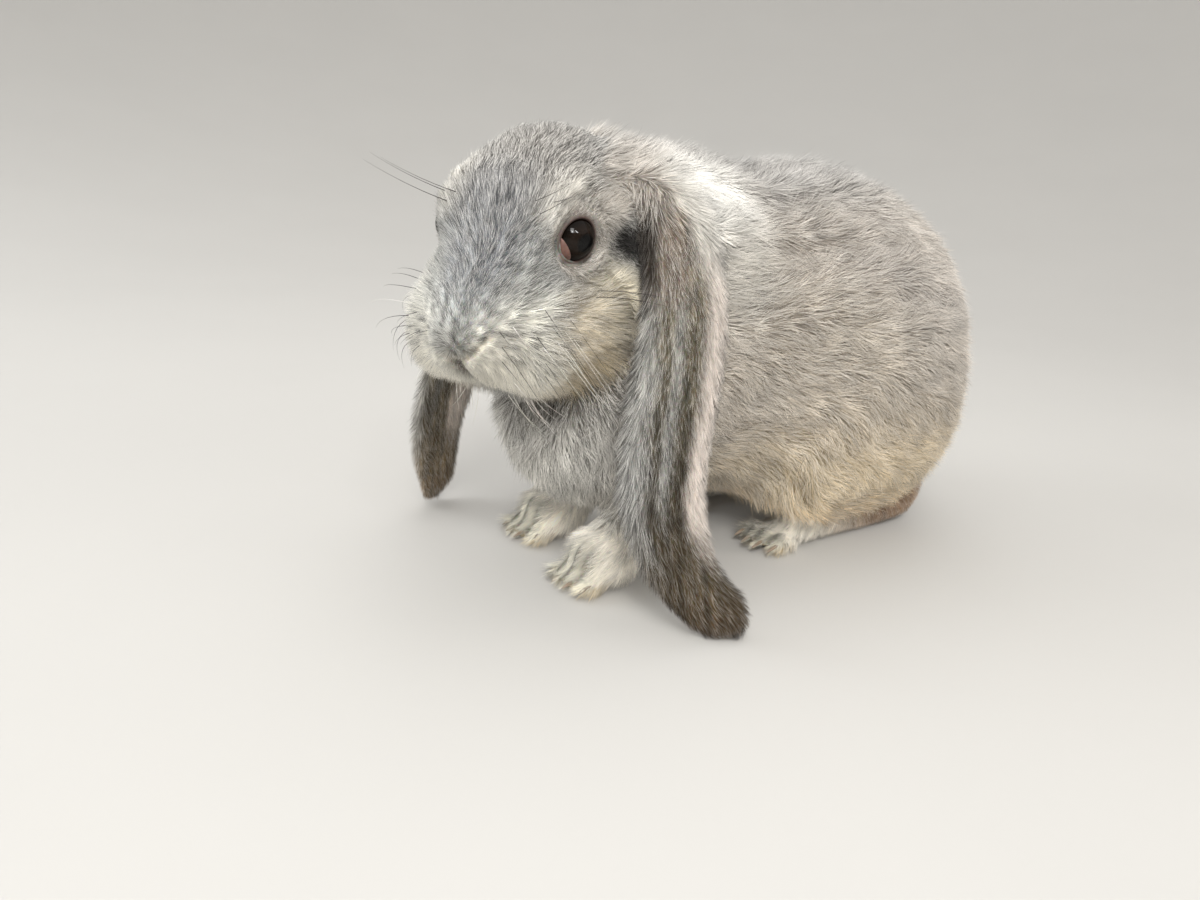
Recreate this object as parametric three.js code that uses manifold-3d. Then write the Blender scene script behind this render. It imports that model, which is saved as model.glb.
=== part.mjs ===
// A lop-eared rabbit sitting at rest, life size, in millimetres.
// It faces -X, its left side is -Y, and it sits on the plane Z = 0.
//
// Each part of the body is a smooth field: ellipsoids and tapered limbs that melt into each other,
// with the coat's outline where the field is zero. Rays from the part's own axis meet that outline
// and make its shell. The parts stand in an order, and each is cut by those before it, grown by a
// thin gap, so that they meet and never overlap. Ears and claws are swept shapes of their own.
import * as THREE from "three";
import { mergeVertices } from "three/addons/utils/BufferGeometryUtils.js";
import Module from "manifold-3d";

const wasm = await Module();
wasm.setup();

const { PI, abs, cos, exp, hypot, max, min, sin, sqrt } = Math;
const rad = THREE.MathUtils.degToRad;
const lerp = THREE.MathUtils.lerp;
const v = (x, y, z) => new THREE.Vector3(x, y, z);
const SIDES = { left: -1, right: 1 }; // the sign of Y

// ------------------------------------------------------------------ sizes
const GAP = 0.35; // between parts that meet
const FLAT = 1.0; // how deep the floor flattens the soles and the ear tips

// The trunk's masses, by centre and half sizes.
const BACK = { at: v(8, 0, 98), radii: v(98, 62, 82) };
const RUMP = { at: v(50, 0, 82), radii: v(68, 68, 78) };
const CHEST = { at: v(-80, 0, 84), radii: v(50, 46, 56) };
const BIB = { at: v(-101, 1, 69), radii: v(37, 37, 36) };
const WITHERS = { at: v(-62, 0, 118), radii: v(50, 44, 57) };
const SCRUFF = { at: v(-84, -6, 145), radii: v(36, 38, 38) };
const HAUNCH = { at: v(44, 36, 62), radii: v(56, 31, 54) };
const KNEE = { at: v(2, 42, 40), radii: v(28, 20, 28) };
const THIGH = { at: v(34, 66, 50), radii: v(56, 36, 54) }; // what of the body is thigh
const NECK = { at: v(-88, -5, 134), radii: v(38, 64, 56), lean: -28 }; // what of it is neck
const TAIL = { at: v(110, 0, 52), radii: v(14, 17, 25), lean: -16 };

// The head's frame: its origin lies midway between the eyes.
const HEAD_AT = v(-149, -9, 145);
const HEAD_YAW = 29; // degrees, to the rabbit's left
const HEAD_PITCH = 33; // degrees, nose down
const HEAD_BACK = { at: v(-9, 0, -20), radius: 70 }; // the ball that rounds off the head behind
const EYE = { at: v(3.5, 24.4, 0), radius: 8.4 };

// Legs. The right forepaw stands a little further back than the left one.
const PAW = { out: 27, toe: -130, width: 28, height: 12.5, toeLength: 24, step: { left: 0, right: 9 } };
const FOOT = { out: 34, toe: -27, heel: 82, width: 25, toeLength: 36 };
const TOE = { places: [-1.5, -0.5, 0.5, 1.5], fan: 7, apart: 7.3, width: 10, height: 13, setBack: 2.5 };
const CLAW = { length: 8, radius: 1.4, shown: 0.8, slope: 0.3, height: 4 };

// Ears, from the root at the crown down to the tip on the floor.
const EAR = { bend: 0.016, halfThick: 3.2, rootThick: 4, rootFade: 0.2, rootEnd: 0.03, tipEnd: 0.07 };
const EAR_FACING = v(-0.35, 1, 0.1); // where the ear's outer side looks, mirrored on the left
const EAR_WIDTHS = [
  [0, 4], [0.08, 10], [0.2, 16], [0.32, 18], [0.5, 18.5], [0.65, 17.5], [0.8, 14.5], [0.92, 12.5], [1, 11],
]; // share of the length, half width
const EAR_LINES = {
  left: [
    v(-108, -22, 168), v(-101, -38, 161), v(-97, -48, 140), v(-99, -55, 114),
    v(-106, -61, 86), v(-112, -68, 54), v(-104, -80, 22), v(-86, -91, 3.5),
  ],
  right: [
    v(-124, 14, 169), v(-125, 31, 161), v(-126, 43, 140), v(-130, 51, 114),
    v(-134, 56, 86), v(-138, 64, 54), v(-134, 76, 24), v(-127, 87, 3.5),
  ],
};

// The lines inside the parts that their shells' rays leave from, and how fine each shell is.
const CORE = {
  head: { a: v(-20, 0, -20), b: v(20, 0, -20), rings: 20, sides: 20 }, // in the head's frame
  neck: { a: v(-90, -5, 140), b: v(-72, -3, 122), rings: 12, sides: 20 },
  trunk: { a: v(-80, 0, 92), b: v(60, 0, 92), rings: 20, sides: 20 },
  thigh: { a: v(58, 44, 58), b: v(18, 44, 46), rings: 12, sides: 22 },
  foreleg: { a: v(-68, 21, 55), b: v(-88, 27, 32), rings: 8, sides: 10 },
  foot: { rings: 9, sides: 12 },
  toe: { rings: 5, sides: 7 },
  tail: { rings: 7, sides: 9 },
  eye: { rings: 8, sides: 12 },
  ear: { rings: 20, sides: 10 },
  claw: { rings: 3, sides: 4 },
};
const BEYOND = 24; // how far past its cut a part's outline runs before it is cut
const FLOOR_SPAN = 800; // the block above the floor that everything is kept in

// Colour and roughness of each material.
const FUR = { head: 0x9b9c99, neck: 0xa6a29b, trunk: 0x918d86, ear: 0x6f6963, paw: 0xc9c4b8, tail: 0xe4e0d6 };
const FUR_ROUGHNESS = 0.9;
const EYE_LOOK = { color: 0x120d0b, roughness: 0.05 };
const CLAW_LOOK = { color: 0x4a4038, roughness: 0.4 };

// ------------------------------------------------------------------ fields
// A field takes a point and gives about its distance to a surface, negative inside.
function ellipsoid(at, radii, turn = new THREE.Euler()) {
  const back = new THREE.Matrix4().makeRotationFromEuler(turn).invert();
  const q = v(0, 0, 0);
  return (p) => {
    q.copy(p).sub(at).applyMatrix4(back);
    const near = hypot(q.x / radii.x, q.y / radii.y, q.z / radii.z);
    const slope = hypot(q.x / radii.x ** 2, q.y / radii.y ** 2, q.z / radii.z ** 2);
    return slope < 1e-9 ? -min(radii.x, radii.y, radii.z) : (near * (near - 1)) / slope;
  };
}

function limb(a, radiusA, b, radiusB) {
  const axis = b.clone().sub(a);
  const q = v(0, 0, 0);
  return (p) => {
    const t = min(1, max(0, q.copy(p).sub(a).dot(axis) / axis.lengthSq()));
    return q.copy(p).sub(a).addScaledVector(axis, -t).length() - lerp(radiusA, radiusB, t);
  };
}

// Joins fields, with a fillet about k wide where they meet.
const melt = (k, ...fields) => (p) =>
  fields.map((f) => f(p)).reduce((a, b) => {
    const h = max(k - abs(a - b), 0) / k;
    return min(a, b) - (h * h * k) / 4;
  });

// Sinks hollows into a field, with a soft rim about k wide.
const carve = (k, field, ...hollows) => (p) => -melt(k, (q) => -field(q), ...hollows)(p);
const common = (...fields) => (p) => max(...fields.map((f) => f(p)));
const grown = (field, by) => (p) => field(p) - by;

function placed(matrix, field) {
  const back = matrix.clone().invert();
  const q = v(0, 0, 0);
  return (p) => field(q.copy(p).applyMatrix4(back));
}

const ball = (at, radius) => ellipsoid(at, v(radius, radius, radius));
const bothSides = (make) => Object.values(SIDES).map(make);
const mirror = (p, s) => v(p.x, p.y * s, p.z);
const mass = ({ at, radii, lean = 0 }, s = 1) =>
  ellipsoid(mirror(at, s), radii, new THREE.Euler(0, rad(lean), 0));

// ------------------------------------------------------------------ the head, in its level frame
const headFrame = new THREE.Matrix4().makeRotationFromEuler(
  new THREE.Euler(0, rad(-HEAD_PITCH), rad(HEAD_YAW), "ZYX"),
);
headFrame.setPosition(HEAD_AT);
const inHead = (x, y, z) => v(x, y, z).applyMatrix4(headFrame);

function headField() {
  const skull = ellipsoid(v(16, 0, -4), v(34, 31, 28));
  const nape = ellipsoid(v(35, 0, -11), v(33, 36, 31));
  const bridge = limb(v(0, 0, -8), 25, v(-31, 0, -15), 20);
  const muzzle = ellipsoid(v(-28, 0, -22), v(19, 27, 20));
  const nose = ellipsoid(v(-45, 0, -14), v(7, 9, 8));
  const chin = ellipsoid(v(-18, 0, -46), v(15, 18, 10));
  const jaw = ellipsoid(v(8, 0, -46), v(34, 30, 22));
  const pads = bothSides((s) => ellipsoid(v(-27, 18.5 * s, -27), v(17, 16, 18)));
  const cheeks = bothSides((s) => ellipsoid(v(-3, 21 * s, -30), v(27, 22, 25)));
  const jowls = bothSides((s) => ellipsoid(v(6, 22 * s, -51), v(27, 20, 21)));
  const brows = bothSides((s) => ellipsoid(v(5, 19 * s, 9), v(15, 9, 8)));
  const face = melt(14, skull, nape, bridge, ...cheeks, ...jowls, jaw);
  const mouth = melt(4, muzzle, ...pads);
  const whole = melt(8, face, mouth, chin, nose, ...brows);
  const hollows = bothSides((s) => ellipsoid(v(EYE.at.x - 2, s * (EYE.at.y + 9), EYE.at.z), v(14, 7.5, 11)));
  return carve(4, whole, ...hollows);
}

// ------------------------------------------------------------------ the legs
// Four toes lie side by side and fan out. The outer two start a little further back.
function toe(limbEnd, length, place) {
  const turn = new THREE.Euler(0, 0, rad(-TOE.fan * place));
  const half = v(length / 2, TOE.width / 2, TOE.height / 2);
  const front = v(limbEnd.x + TOE.setBack * (abs(place) - 0.5), limbEnd.y + TOE.apart * place, half.z - FLAT);
  const at = front.clone().add(v(half.x, 0, 0).applyEuler(turn));
  return { at, front, field: ellipsoid(at, half, turn) };
}

function pawField(name) {
  const y = PAW.out * SIDES[name];
  const x = PAW.toe + PAW.step[name];
  const wrist = limb(v(x + 36, y, 24), 13, v(x + 26, y, 14), 12.5);
  const palm = ellipsoid(v(x + 23, y, PAW.height - FLAT), v(16, PAW.width / 2, PAW.height));
  return melt(10, wrist, palm);
}

function forelegField(name) {
  const y = PAW.out * SIDES[name];
  const x = PAW.toe + PAW.step[name];
  const upper = limb(v(-66, y * 0.75, 58), 20, v(-84, y, 38), 16.5);
  const lower = limb(v(-84, y, 38), 16.5, v(x + 28, y, 17), 12.5);
  return melt(10, upper, lower);
}

function footField(name) {
  const y = FOOT.out * SIDES[name];
  const half = FOOT.width / 2;
  const sole = limb(v(FOOT.heel - half, y, half - FLAT), half, v(FOOT.toe + 30, y, 11), 12);
  const hock = ellipsoid(v(FOOT.heel - 4, y, 20), v(16, 14, 17));
  return melt(10, sole, hock);
}

// ------------------------------------------------------------------ the body
const head = placed(headFrame, headField());
const thighs = bothSides((s) => melt(16, mass(HAUNCH, s), mass(KNEE, s)));
const barrel = melt(24, ...[BACK, RUMP, CHEST, BIB, WITHERS, SCRUFF].map((one) => mass(one)));
const torso = melt(14, barrel, ...thighs);
const nape = melt(14, torso, head);

// ------------------------------------------------------------------ shells
function solid(positions, faces) {
  const vertProperties = new Float32Array(positions);
  return new wasm.Manifold(new wasm.Mesh({ numProp: 3, vertProperties, triVerts: new Uint32Array(faces) }));
}

// A closed surface of rings between two poles. pointAt(u, w) takes u along and w round, 0 to 1.
function shell(rings, sides, pointAt) {
  const points = [pointAt(0, 0)];
  for (let i = 1; i < rings; i++) {
    for (let j = 0; j < sides; j++) points.push(pointAt(i / rings, j / sides));
  }
  points.push(pointAt(1, 0));
  const last = points.length - 1;
  const at = (i, j) => 1 + (i - 1) * sides + (j % sides);
  const faces = [];
  for (let j = 0; j < sides; j++) {
    faces.push(0, at(1, j), at(1, j + 1), last, at(rings - 1, j + 1), at(rings - 1, j));
    for (let i = 1; i < rings - 1; i++) {
      faces.push(at(i, j), at(i + 1, j), at(i + 1, j + 1));
      faces.push(at(i, j), at(i + 1, j + 1), at(i, j + 1));
    }
  }
  return solid(points.flatMap((p) => p.toArray()), faces);
}

// Walks out from start until it leaves the field, then closes in on the surface by halving.
function wayOut(field, start, direction) {
  const p = v(0, 0, 0);
  const inside = (t) => field(p.copy(start).addScaledVector(direction, t)) < 0;
  let near = 0;
  let far = 1;
  while (inside(far)) {
    near = far;
    far += 2;
  }
  for (let i = 0; i < 12; i++) {
    const middle = (near + far) / 2;
    if (inside(middle)) near = middle;
    else far = middle;
  }
  return p.copy(start).addScaledVector(direction, near).clone();
}

// The surface of a field as rays from the line a-b reach it.
function rayShell(field, { a, b, rings, sides }) {
  const axis = b.clone().sub(a).normalize();
  const upright = abs(axis.z) > 0.9 ? v(1, 0, 0) : v(0, 0, 1);
  const side = axis.clone().cross(upright).normalize();
  const top = side.clone().cross(axis);
  return shell(rings, sides, (u, w) => {
    const start = a.clone().lerp(b, (1 - cos(u * PI)) / 2);
    const direction = axis.clone().multiplyScalar(-cos(u * PI));
    direction.addScaledVector(top, sin(u * PI) * cos(w * 2 * PI));
    direction.addScaledVector(side, -sin(u * PI) * sin(w * 2 * PI));
    return wayOut(field, start, direction.normalize());
  });
}

// What a region takes of a field: the outline is the field's and the cut is the region's.
function taken(field, region, core, grow) {
  const outline = rayShell(common(grown(field, grow), grown(region, BEYOND)), core);
  const coarse = { ...core, rings: core.rings / 2, sides: core.sides / 2 };
  return outline.intersect(rayShell(grown(region, grow), coarse));
}

// ------------------------------------------------------------------ ears and claws
function earHalfWidth(u) {
  const i = max(1, EAR_WIDTHS.findIndex(([at]) => at >= u));
  const [[a, before], [b, after]] = [EAR_WIDTHS[i - 1], EAR_WIDTHS[i]];
  return lerp(before, after, (u - a) / (b - a));
}

// A blade with a crescent section, its outer side facing away from the body.
function ear(name, grow = 0) {
  const line = new THREE.CatmullRomCurve3(EAR_LINES[name]);
  const rounded = (share) => sqrt(max(0, 1 - max(0, share) ** 2));
  return shell(CORE.ear.rings, CORE.ear.sides, (share, w) => {
    const u = (1 - cos(share * PI)) / 2;
    const tangent = line.getTangentAt(u);
    const facing = mirror(EAR_FACING, SIDES[name]);
    const out = facing.addScaledVector(tangent, -tangent.dot(facing)).normalize();
    const across = out.clone().cross(tangent).normalize();
    const ends = rounded(1 - u / EAR.rootEnd) * rounded((u - 1) / EAR.tipEnd + 1);
    const half = earHalfWidth(u);
    const x = (half + grow) * cos(2 * PI * w) * ends;
    const halfThick = EAR.halfThick + EAR.rootThick * exp(-((u / EAR.rootFade) ** 2));
    const thick = -(halfThick + grow) * sin(2 * PI * w) * ends;
    const bow = EAR.bend * (half * half - x * x);
    const middle = line.getPointAt(u).addScaledVector(tangent, (2 * u - 1) ** 21 * grow);
    return middle.addScaledVector(across, x).addScaledVector(out, bow + thick);
  });
}

// A tapered claw that leaves the toe's end and curves down a little.
function claw(tip, grow = 0) {
  const root = tip.clone().add(v(CLAW.length, 0, CLAW.slope * CLAW.length));
  return shell(CORE.claw.rings, CORE.claw.sides, (u, w) => {
    const along = u * CLAW.length + (2 * u - 1) * grow;
    const radius = u === 0 || u === 1 ? 0 : lerp(CLAW.radius, CLAW.radius / 2, u) + grow;
    const centre = root.clone().add(v(-along, 0, -CLAW.slope * along * (0.6 + 0.4 * u)));
    return centre.add(v(0, radius * cos(2 * PI * w), radius * sin(2 * PI * w)));
  });
}

// ------------------------------------------------------------------ the parts, in order
// make takes how far to grow the part: not at all for its body, by the gap for the room it needs.
const parts = [];
function part(name, look, make) {
  parts.push({ name, look, body: make(0), room: make(GAP) });
}
const fur = (color) => ({ color, roughness: FUR_ROUGHNESS });
const mirrored = (core, s) => ({ ...core, a: mirror(core.a, s), b: mirror(core.b, s) });
const along = (a, b, core) => ({ ...core, a, b });

function addEye(name) {
  const at = inHead(EYE.at.x, EYE.at.y * SIDES[name], EYE.at.z);
  const core = along(at, at.clone().add(v(0, SIDES[name], 0)), CORE.eye);
  part("eye_" + name, EYE_LOOK, (grow) => rayShell(ball(at, EYE.radius + grow), core));
}

function addHead() {
  const back = placed(headFrame, ball(HEAD_BACK.at, HEAD_BACK.radius));
  const { a, b } = CORE.head;
  const core = along(inHead(a.x, a.y, a.z), inHead(b.x, b.y, b.z), CORE.head);
  part("head", fur(FUR.head), (grow) => taken(head, back, core, grow));
}

function addTail() {
  const reach = v(0, 0, TAIL.radii.z / 3);
  const core = along(TAIL.at.clone().sub(reach), TAIL.at.clone().add(reach), CORE.tail);
  part("tail", fur(FUR.tail), (grow) => rayShell(grown(mass(TAIL), grow), core));
}

// A foot with its toes joined on, and a claw let into each toe.
function addFoot(name, field, limbEnd, toeLength, heel, pad) {
  const toes = TOE.places.map((place) => toe(limbEnd, toeLength, place));
  toes.forEach(({ front }, number) => {
    const tip = v(front.x - CLAW.shown, front.y, CLAW.height);
    part(`claw_${name}_${number + 1}`, CLAW_LOOK, (grow) => claw(tip, grow));
  });
  const toeShell = (one, grow) =>
    rayShell(grown(one.field, grow), along(one.at, one.at.clone().add(v(1, 0, 0)), CORE.toe));
  part(name, fur(FUR.paw), (grow) =>
    toes.reduce(
      (foot, one) => foot.add(toeShell(one, grow)),
      rayShell(grown(field, grow), along(limbEnd.clone().add(heel), limbEnd.clone().add(pad), CORE.foot)),
    ));
}

function addForeleg(name) {
  const s = SIDES[name];
  const end = v(PAW.toe + PAW.step[name], PAW.out * s, 0);
  addFoot("forepaw_" + name, pawField(name), end, PAW.toeLength, v(30, 0, 16), v(20, 0, 10));
  part("foreleg_" + name, fur(FUR.trunk), (grow) =>
    rayShell(grown(forelegField(name), grow), mirrored(CORE.foreleg, s)));
}

function addHindleg(name) {
  const s = SIDES[name];
  const end = v(FOOT.toe, FOOT.out * s, 0);
  const heel = v(FOOT.heel - FOOT.toe - 14, 0, 14);
  addFoot("hindfoot_" + name, footField(name), end, FOOT.toeLength, heel, v(34, 0, 10));
  const core = mirrored(CORE.thigh, s);
  part("thigh_" + name, fur(FUR.trunk), (grow) => taken(torso, mass(THIGH, s), core, grow));
}

for (const name of Object.keys(SIDES)) {
  addEye(name);
  part("ear_" + name, fur(FUR.ear), (grow) => ear(name, grow));
}
addHead();
addTail();
for (const name of Object.keys(SIDES)) {
  addForeleg(name);
  addHindleg(name);
}
part("neck", fur(FUR.neck), (grow) => taken(nape, mass(NECK), CORE.neck, grow));
part("trunk", fur(FUR.trunk), (grow) => rayShell(grown(torso, grow), CORE.trunk));

// ------------------------------------------------------------------ cutting and meshes
// A three.js geometry as a solid, its corners merged by place.
function weld(geometry) {
  geometry.deleteAttribute("normal");
  geometry.deleteAttribute("uv");
  const merged = mergeVertices(geometry);
  return solid(merged.getAttribute("position").array, merged.index.array);
}
const block = new THREE.BoxGeometry(FLOOR_SPAN, FLOOR_SPAN, FLOOR_SPAN);
const aboveFloor = weld(block.translate(0, 0, FLOOR_SPAN / 2));

// Each part is cut by the room of those before it. A crumb that a cut leaves loose is dropped.
function cutBody({ body }, number) {
  const before = parts.slice(0, number);
  const cut = before.reduce((left, { room }) => left.subtract(room), body.intersect(aboveFloor));
  return cut.decompose().sort((a, b) => b.volume() - a.volume())[0];
}

function meshOf(made) {
  const { vertProperties, triVerts } = made.getMesh();
  const geometry = new THREE.BufferGeometry();
  geometry.setAttribute("position", new THREE.BufferAttribute(new Float32Array(vertProperties), 3));
  geometry.setIndex(new THREE.BufferAttribute(new Uint32Array(triVerts), 1));
  return geometry;
}

const rabbit = new THREE.Group();
parts.forEach((one, number) => {
  const material = new THREE.MeshStandardMaterial({ ...one.look, metalness: 0 });
  const mesh = new THREE.Mesh(meshOf(cutBody(one, number)), material);
  mesh.name = one.name;
  rabbit.add(mesh);
});

// The origin lies on the floor under the middle of the box round the rabbit.
const middle = new THREE.Box3().setFromObject(rabbit).getCenter(v(0, 0, 0));
rabbit.position.set(-middle.x, -middle.y, 0);

export default rabbit;
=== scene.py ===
import functools
import math
import typing

import bpy
import numpy as np
from mathutils import Matrix, Vector
from mathutils.bvhtree import BVHTree
from mathutils.kdtree import KDTree


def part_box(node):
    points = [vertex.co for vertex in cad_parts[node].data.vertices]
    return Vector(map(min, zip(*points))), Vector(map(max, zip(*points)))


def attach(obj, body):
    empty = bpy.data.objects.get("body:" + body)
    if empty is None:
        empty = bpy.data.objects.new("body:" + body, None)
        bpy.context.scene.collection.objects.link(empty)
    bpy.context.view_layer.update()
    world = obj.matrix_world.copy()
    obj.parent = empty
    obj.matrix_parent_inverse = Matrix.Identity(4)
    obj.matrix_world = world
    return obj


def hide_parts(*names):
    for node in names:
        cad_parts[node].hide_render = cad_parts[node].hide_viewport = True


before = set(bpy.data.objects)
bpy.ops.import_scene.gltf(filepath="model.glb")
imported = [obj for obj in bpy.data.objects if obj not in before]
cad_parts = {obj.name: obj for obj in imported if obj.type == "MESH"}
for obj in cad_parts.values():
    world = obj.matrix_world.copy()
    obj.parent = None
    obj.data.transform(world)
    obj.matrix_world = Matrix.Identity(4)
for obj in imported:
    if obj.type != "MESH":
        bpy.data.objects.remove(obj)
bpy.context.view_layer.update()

bl_info = {
    "name": "Lop rabbit",
    "version": (1, 0, 0),
    "blender": (4, 5, 0),
    "location": "View3D > Sidebar > Rabbit",
    "description": "Builds the skin, coat, eyes and whiskers of a resting lop rabbit",
    "category": "Object",
}

MM = 0.001
SEED = 1729
SIDES = {"left": -1, "right": 1}

# ---------------------------------------------------------------- the head's own frame

HEAD_PITCH = math.radians(33)
EYE_BEHIND_MIDDLE = 3.5 * MM


def middle_of(node):
    """The middle of a node's box."""
    low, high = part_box(node)
    return (np.array(low) + np.array(high)) / 2


def unit(v):
    """The vectors of v, each one long."""
    v = np.asarray(v, float)
    return v / np.maximum(np.linalg.norm(v, axis=-1, keepdims=True), 1e-12)


EYES = {side: middle_of("eye_" + side) for side in SIDES}
HEAD_RIGHT = unit(EYES["right"] - EYES["left"])
HEAD_LEVEL_BACK = unit(np.cross(HEAD_RIGHT, (0, 0, 1)))
HEAD_BACK = math.cos(HEAD_PITCH) * HEAD_LEVEL_BACK + math.sin(HEAD_PITCH) * np.array((0, 0, 1.0))
HEAD_UP = np.cross(HEAD_BACK, HEAD_RIGHT)
HEAD_AXES = np.array((HEAD_BACK, HEAD_RIGHT, HEAD_UP))
HEAD_AT = (EYES["left"] + EYES["right"]) / 2 - HEAD_BACK * EYE_BEHIND_MIDDLE


def to_head(points):
    """Row points, in metres, as millimetres behind, right of and above the middle of the head."""
    return (np.asarray(points) - HEAD_AT) @ HEAD_AXES.T / MM


def from_head(points):
    """The opposite of to_head."""
    return HEAD_AT + np.asarray(points, float) * MM @ HEAD_AXES


# ---------------------------------------------------------------- small mathematics


def ramp(x, low, high):
    """0 below low, 1 above high and smooth between them."""
    t = np.clip((x - low) / (high - low), 0, 1)
    return t * t * (3 - 2 * t)


def blob(points, at, radii, soft=0.35):
    """How far inside an ellipsoid the points are: 1 inside and 0 outside, smooth over the soft edge."""
    far = np.linalg.norm((points - np.asarray(at, float)) / np.asarray(radii, float), axis=-1)
    return 1 - ramp(far, 1 - soft, 1 + soft)


def near_line(points, line):
    """The distance of each point from a line of points."""
    line = np.asarray(line, float)
    best = np.full(len(points), 1e9)
    for a, b in zip(line, line[1:]):
        ab = b - a
        t = np.clip((points - a) @ ab / (ab @ ab), 0, 1)
        best = np.minimum(best, np.linalg.norm(points - a - t[:, None] * ab, axis=1))
    return best


def distance(points, place):
    """How far the points are from a place."""
    return np.linalg.norm(points - place, axis=1)


def from_share(least, x):
    """The least share where x is 0, and the whole where x is 1."""
    return least + (1 - least) * x


def peak(x, width, middle=0):
    """1 in the middle, falling off to nothing over about twice the width."""
    return np.exp(-(((x - middle) / width) ** 2))


def between(x, places, rows):
    """The values at x of rows that are known at some places."""
    return np.stack([np.interp(x, places, column) for column in np.transpose(rows)], -1)


def mixed(a, b, share):
    """a turned into b by a share for each row."""
    return a + (b - a) * share[:, None]


def linear(red, green, blue):
    """A colour given as 0 to 255 screen values, as linear light."""
    c = np.array((red, green, blue)) / 255
    return np.where(c <= 0.04045, c / 12.92, ((c + 0.055) / 1.055) ** 2.4)


def waves(points, length, seed, count=12):
    """Smooth noise of about -1 to 1 over points in millimetres, with features of about the given length."""
    rng = np.random.default_rng(SEED + seed)
    ways = unit(rng.normal(size=(count, 3))) * (math.tau / length) * rng.uniform(0.6, 1.5, (count, 1))
    return np.sin(points @ ways.T + rng.uniform(0, math.tau, count)).sum(1) * math.sqrt(2 / count)


def rippled(points, ripples):
    """The sum of several waves, each with its strength, length and seed."""
    return sum(strength * waves(points, length, seed) for strength, length, seed in ripples)


def placed(x, y, z, at):
    """The matrix with these axes and place."""
    return Matrix([(*row, 1.0 * place) for row, place in zip(zip(x, y, z), at)] + [(0, 0, 0, 1)])


def many_smooth(values, edges, count, rounds, fixed=None, share=0.5):
    """Values of the vertices, averaged with those of their neighbours, round after round."""
    values = values.astype(float)
    flat = values.reshape(count, -1)
    degree = np.bincount(edges.ravel(), minlength=count).astype(float)
    for _ in range(rounds):
        new = np.empty_like(flat)
        for k in range(flat.shape[1]):
            total = np.bincount(edges[:, 0], weights=flat[edges[:, 1], k], minlength=count)
            total += np.bincount(edges[:, 1], weights=flat[edges[:, 0], k], minlength=count)
            new[:, k] = total / np.maximum(degree, 1)
        new = flat + (new - flat) * share
        if fixed is not None:
            new[fixed] = flat[fixed]
        flat = new
    return flat.reshape(values.shape)


# ---------------------------------------------------------------- meshes

# For each kind of attribute: the field that holds its values and how many there are.
ATTRIBUTES = {"FLOAT": ("value", 1), "FLOAT_VECTOR": ("vector", 3), "FLOAT_COLOR": ("color", 4)}
HAIR_LEVELS = 8
HAIR_SIDES = 4


def in_scene(name, data):
    """A new object in the scene."""
    made = bpy.data.objects.new(name, data)
    bpy.context.scene.collection.objects.link(made)
    return made


def read(items, field, width=1, kind=np.int32):
    """A field of every item in one of Blender's lists, as an array."""
    values = np.empty(len(items) * width, kind)
    items.foreach_get(field, values)
    return values if width == 1 else values.reshape(-1, width)


def mesh_arrays(mesh):
    """The points and triangles of a mesh."""
    mesh.calc_loop_triangles()
    return read(mesh.vertices, "co", 3, float), read(mesh.loop_triangles, "vertices", 3)


def welded(name):
    """The points of a node's solid, each held once, and its triangles."""
    points, faces = mesh_arrays(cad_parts[name].data)
    points, back = np.unique(np.round(points, ROUND_TO), axis=0, return_inverse=True)
    return points, back.reshape(-1)[faces]


def point_tree(points):
    """A search tree of points."""
    tree = KDTree(len(points))
    for k, point in enumerate(points.tolist()):
        tree.insert(point, k)
    tree.balance()
    return tree


def keep(mesh, name, values):
    """Values of the vertices kept as an attribute of the mesh: numbers, vectors or colours."""
    values = np.asarray(values, np.float32)
    width = 1 if values.ndim == 1 else values.shape[1]
    kind, field = next((kind, field) for kind, (field, size) in ATTRIBUTES.items() if size == width)
    mesh.attributes.new(name, kind, "POINT").data.foreach_set(field, values.ravel())


def keep_colour(mesh, name, colour):
    """One colour, or one for each vertex, kept as an attribute of the mesh."""
    colours = np.ones((len(mesh.vertices), 4))
    colours[:, :3] = colour
    keep(mesh, name, colours)


def kept(mesh, name):
    """The values that keep() stored."""
    attribute = mesh.attributes[name]
    field, width = ATTRIBUTES[attribute.data_type]
    return read(attribute.data, field, width, np.float32).astype(float)


def new_object(name, mesh, material, slot, *replaced):
    """A piece of the rabbit: it rides on the body, takes the given material and may stand for solids; the slot is not
    used.
    """
    piece = in_scene(name, mesh)
    mesh.materials.append(material)
    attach(piece, "root")
    if replaced:
        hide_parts(*replaced)
    return piece


def mesh_of(name, points, polygons):
    """A smooth mesh from points and arrays of polygons, one array for each number of corners."""
    mesh = bpy.data.meshes.new(name)
    mesh.vertices.add(len(points))
    mesh.vertices.foreach_set("co", np.asarray(points, np.float32).ravel())
    corners = np.concatenate([p.ravel() for p in polygons]).astype(np.int32)
    sizes = np.concatenate([np.full(len(p), p.shape[1]) for p in polygons])
    starts = np.concatenate(([0], np.cumsum(sizes)[:-1])).astype(np.int32)
    mesh.loops.add(len(corners))
    mesh.loops.foreach_set("vertex_index", corners)
    mesh.polygons.add(len(sizes))
    mesh.polygons.foreach_set("loop_start", starts)
    mesh.polygons.foreach_set("use_smooth", np.ones(len(sizes), bool))
    mesh.update(calc_edges=True)
    return mesh


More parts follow.
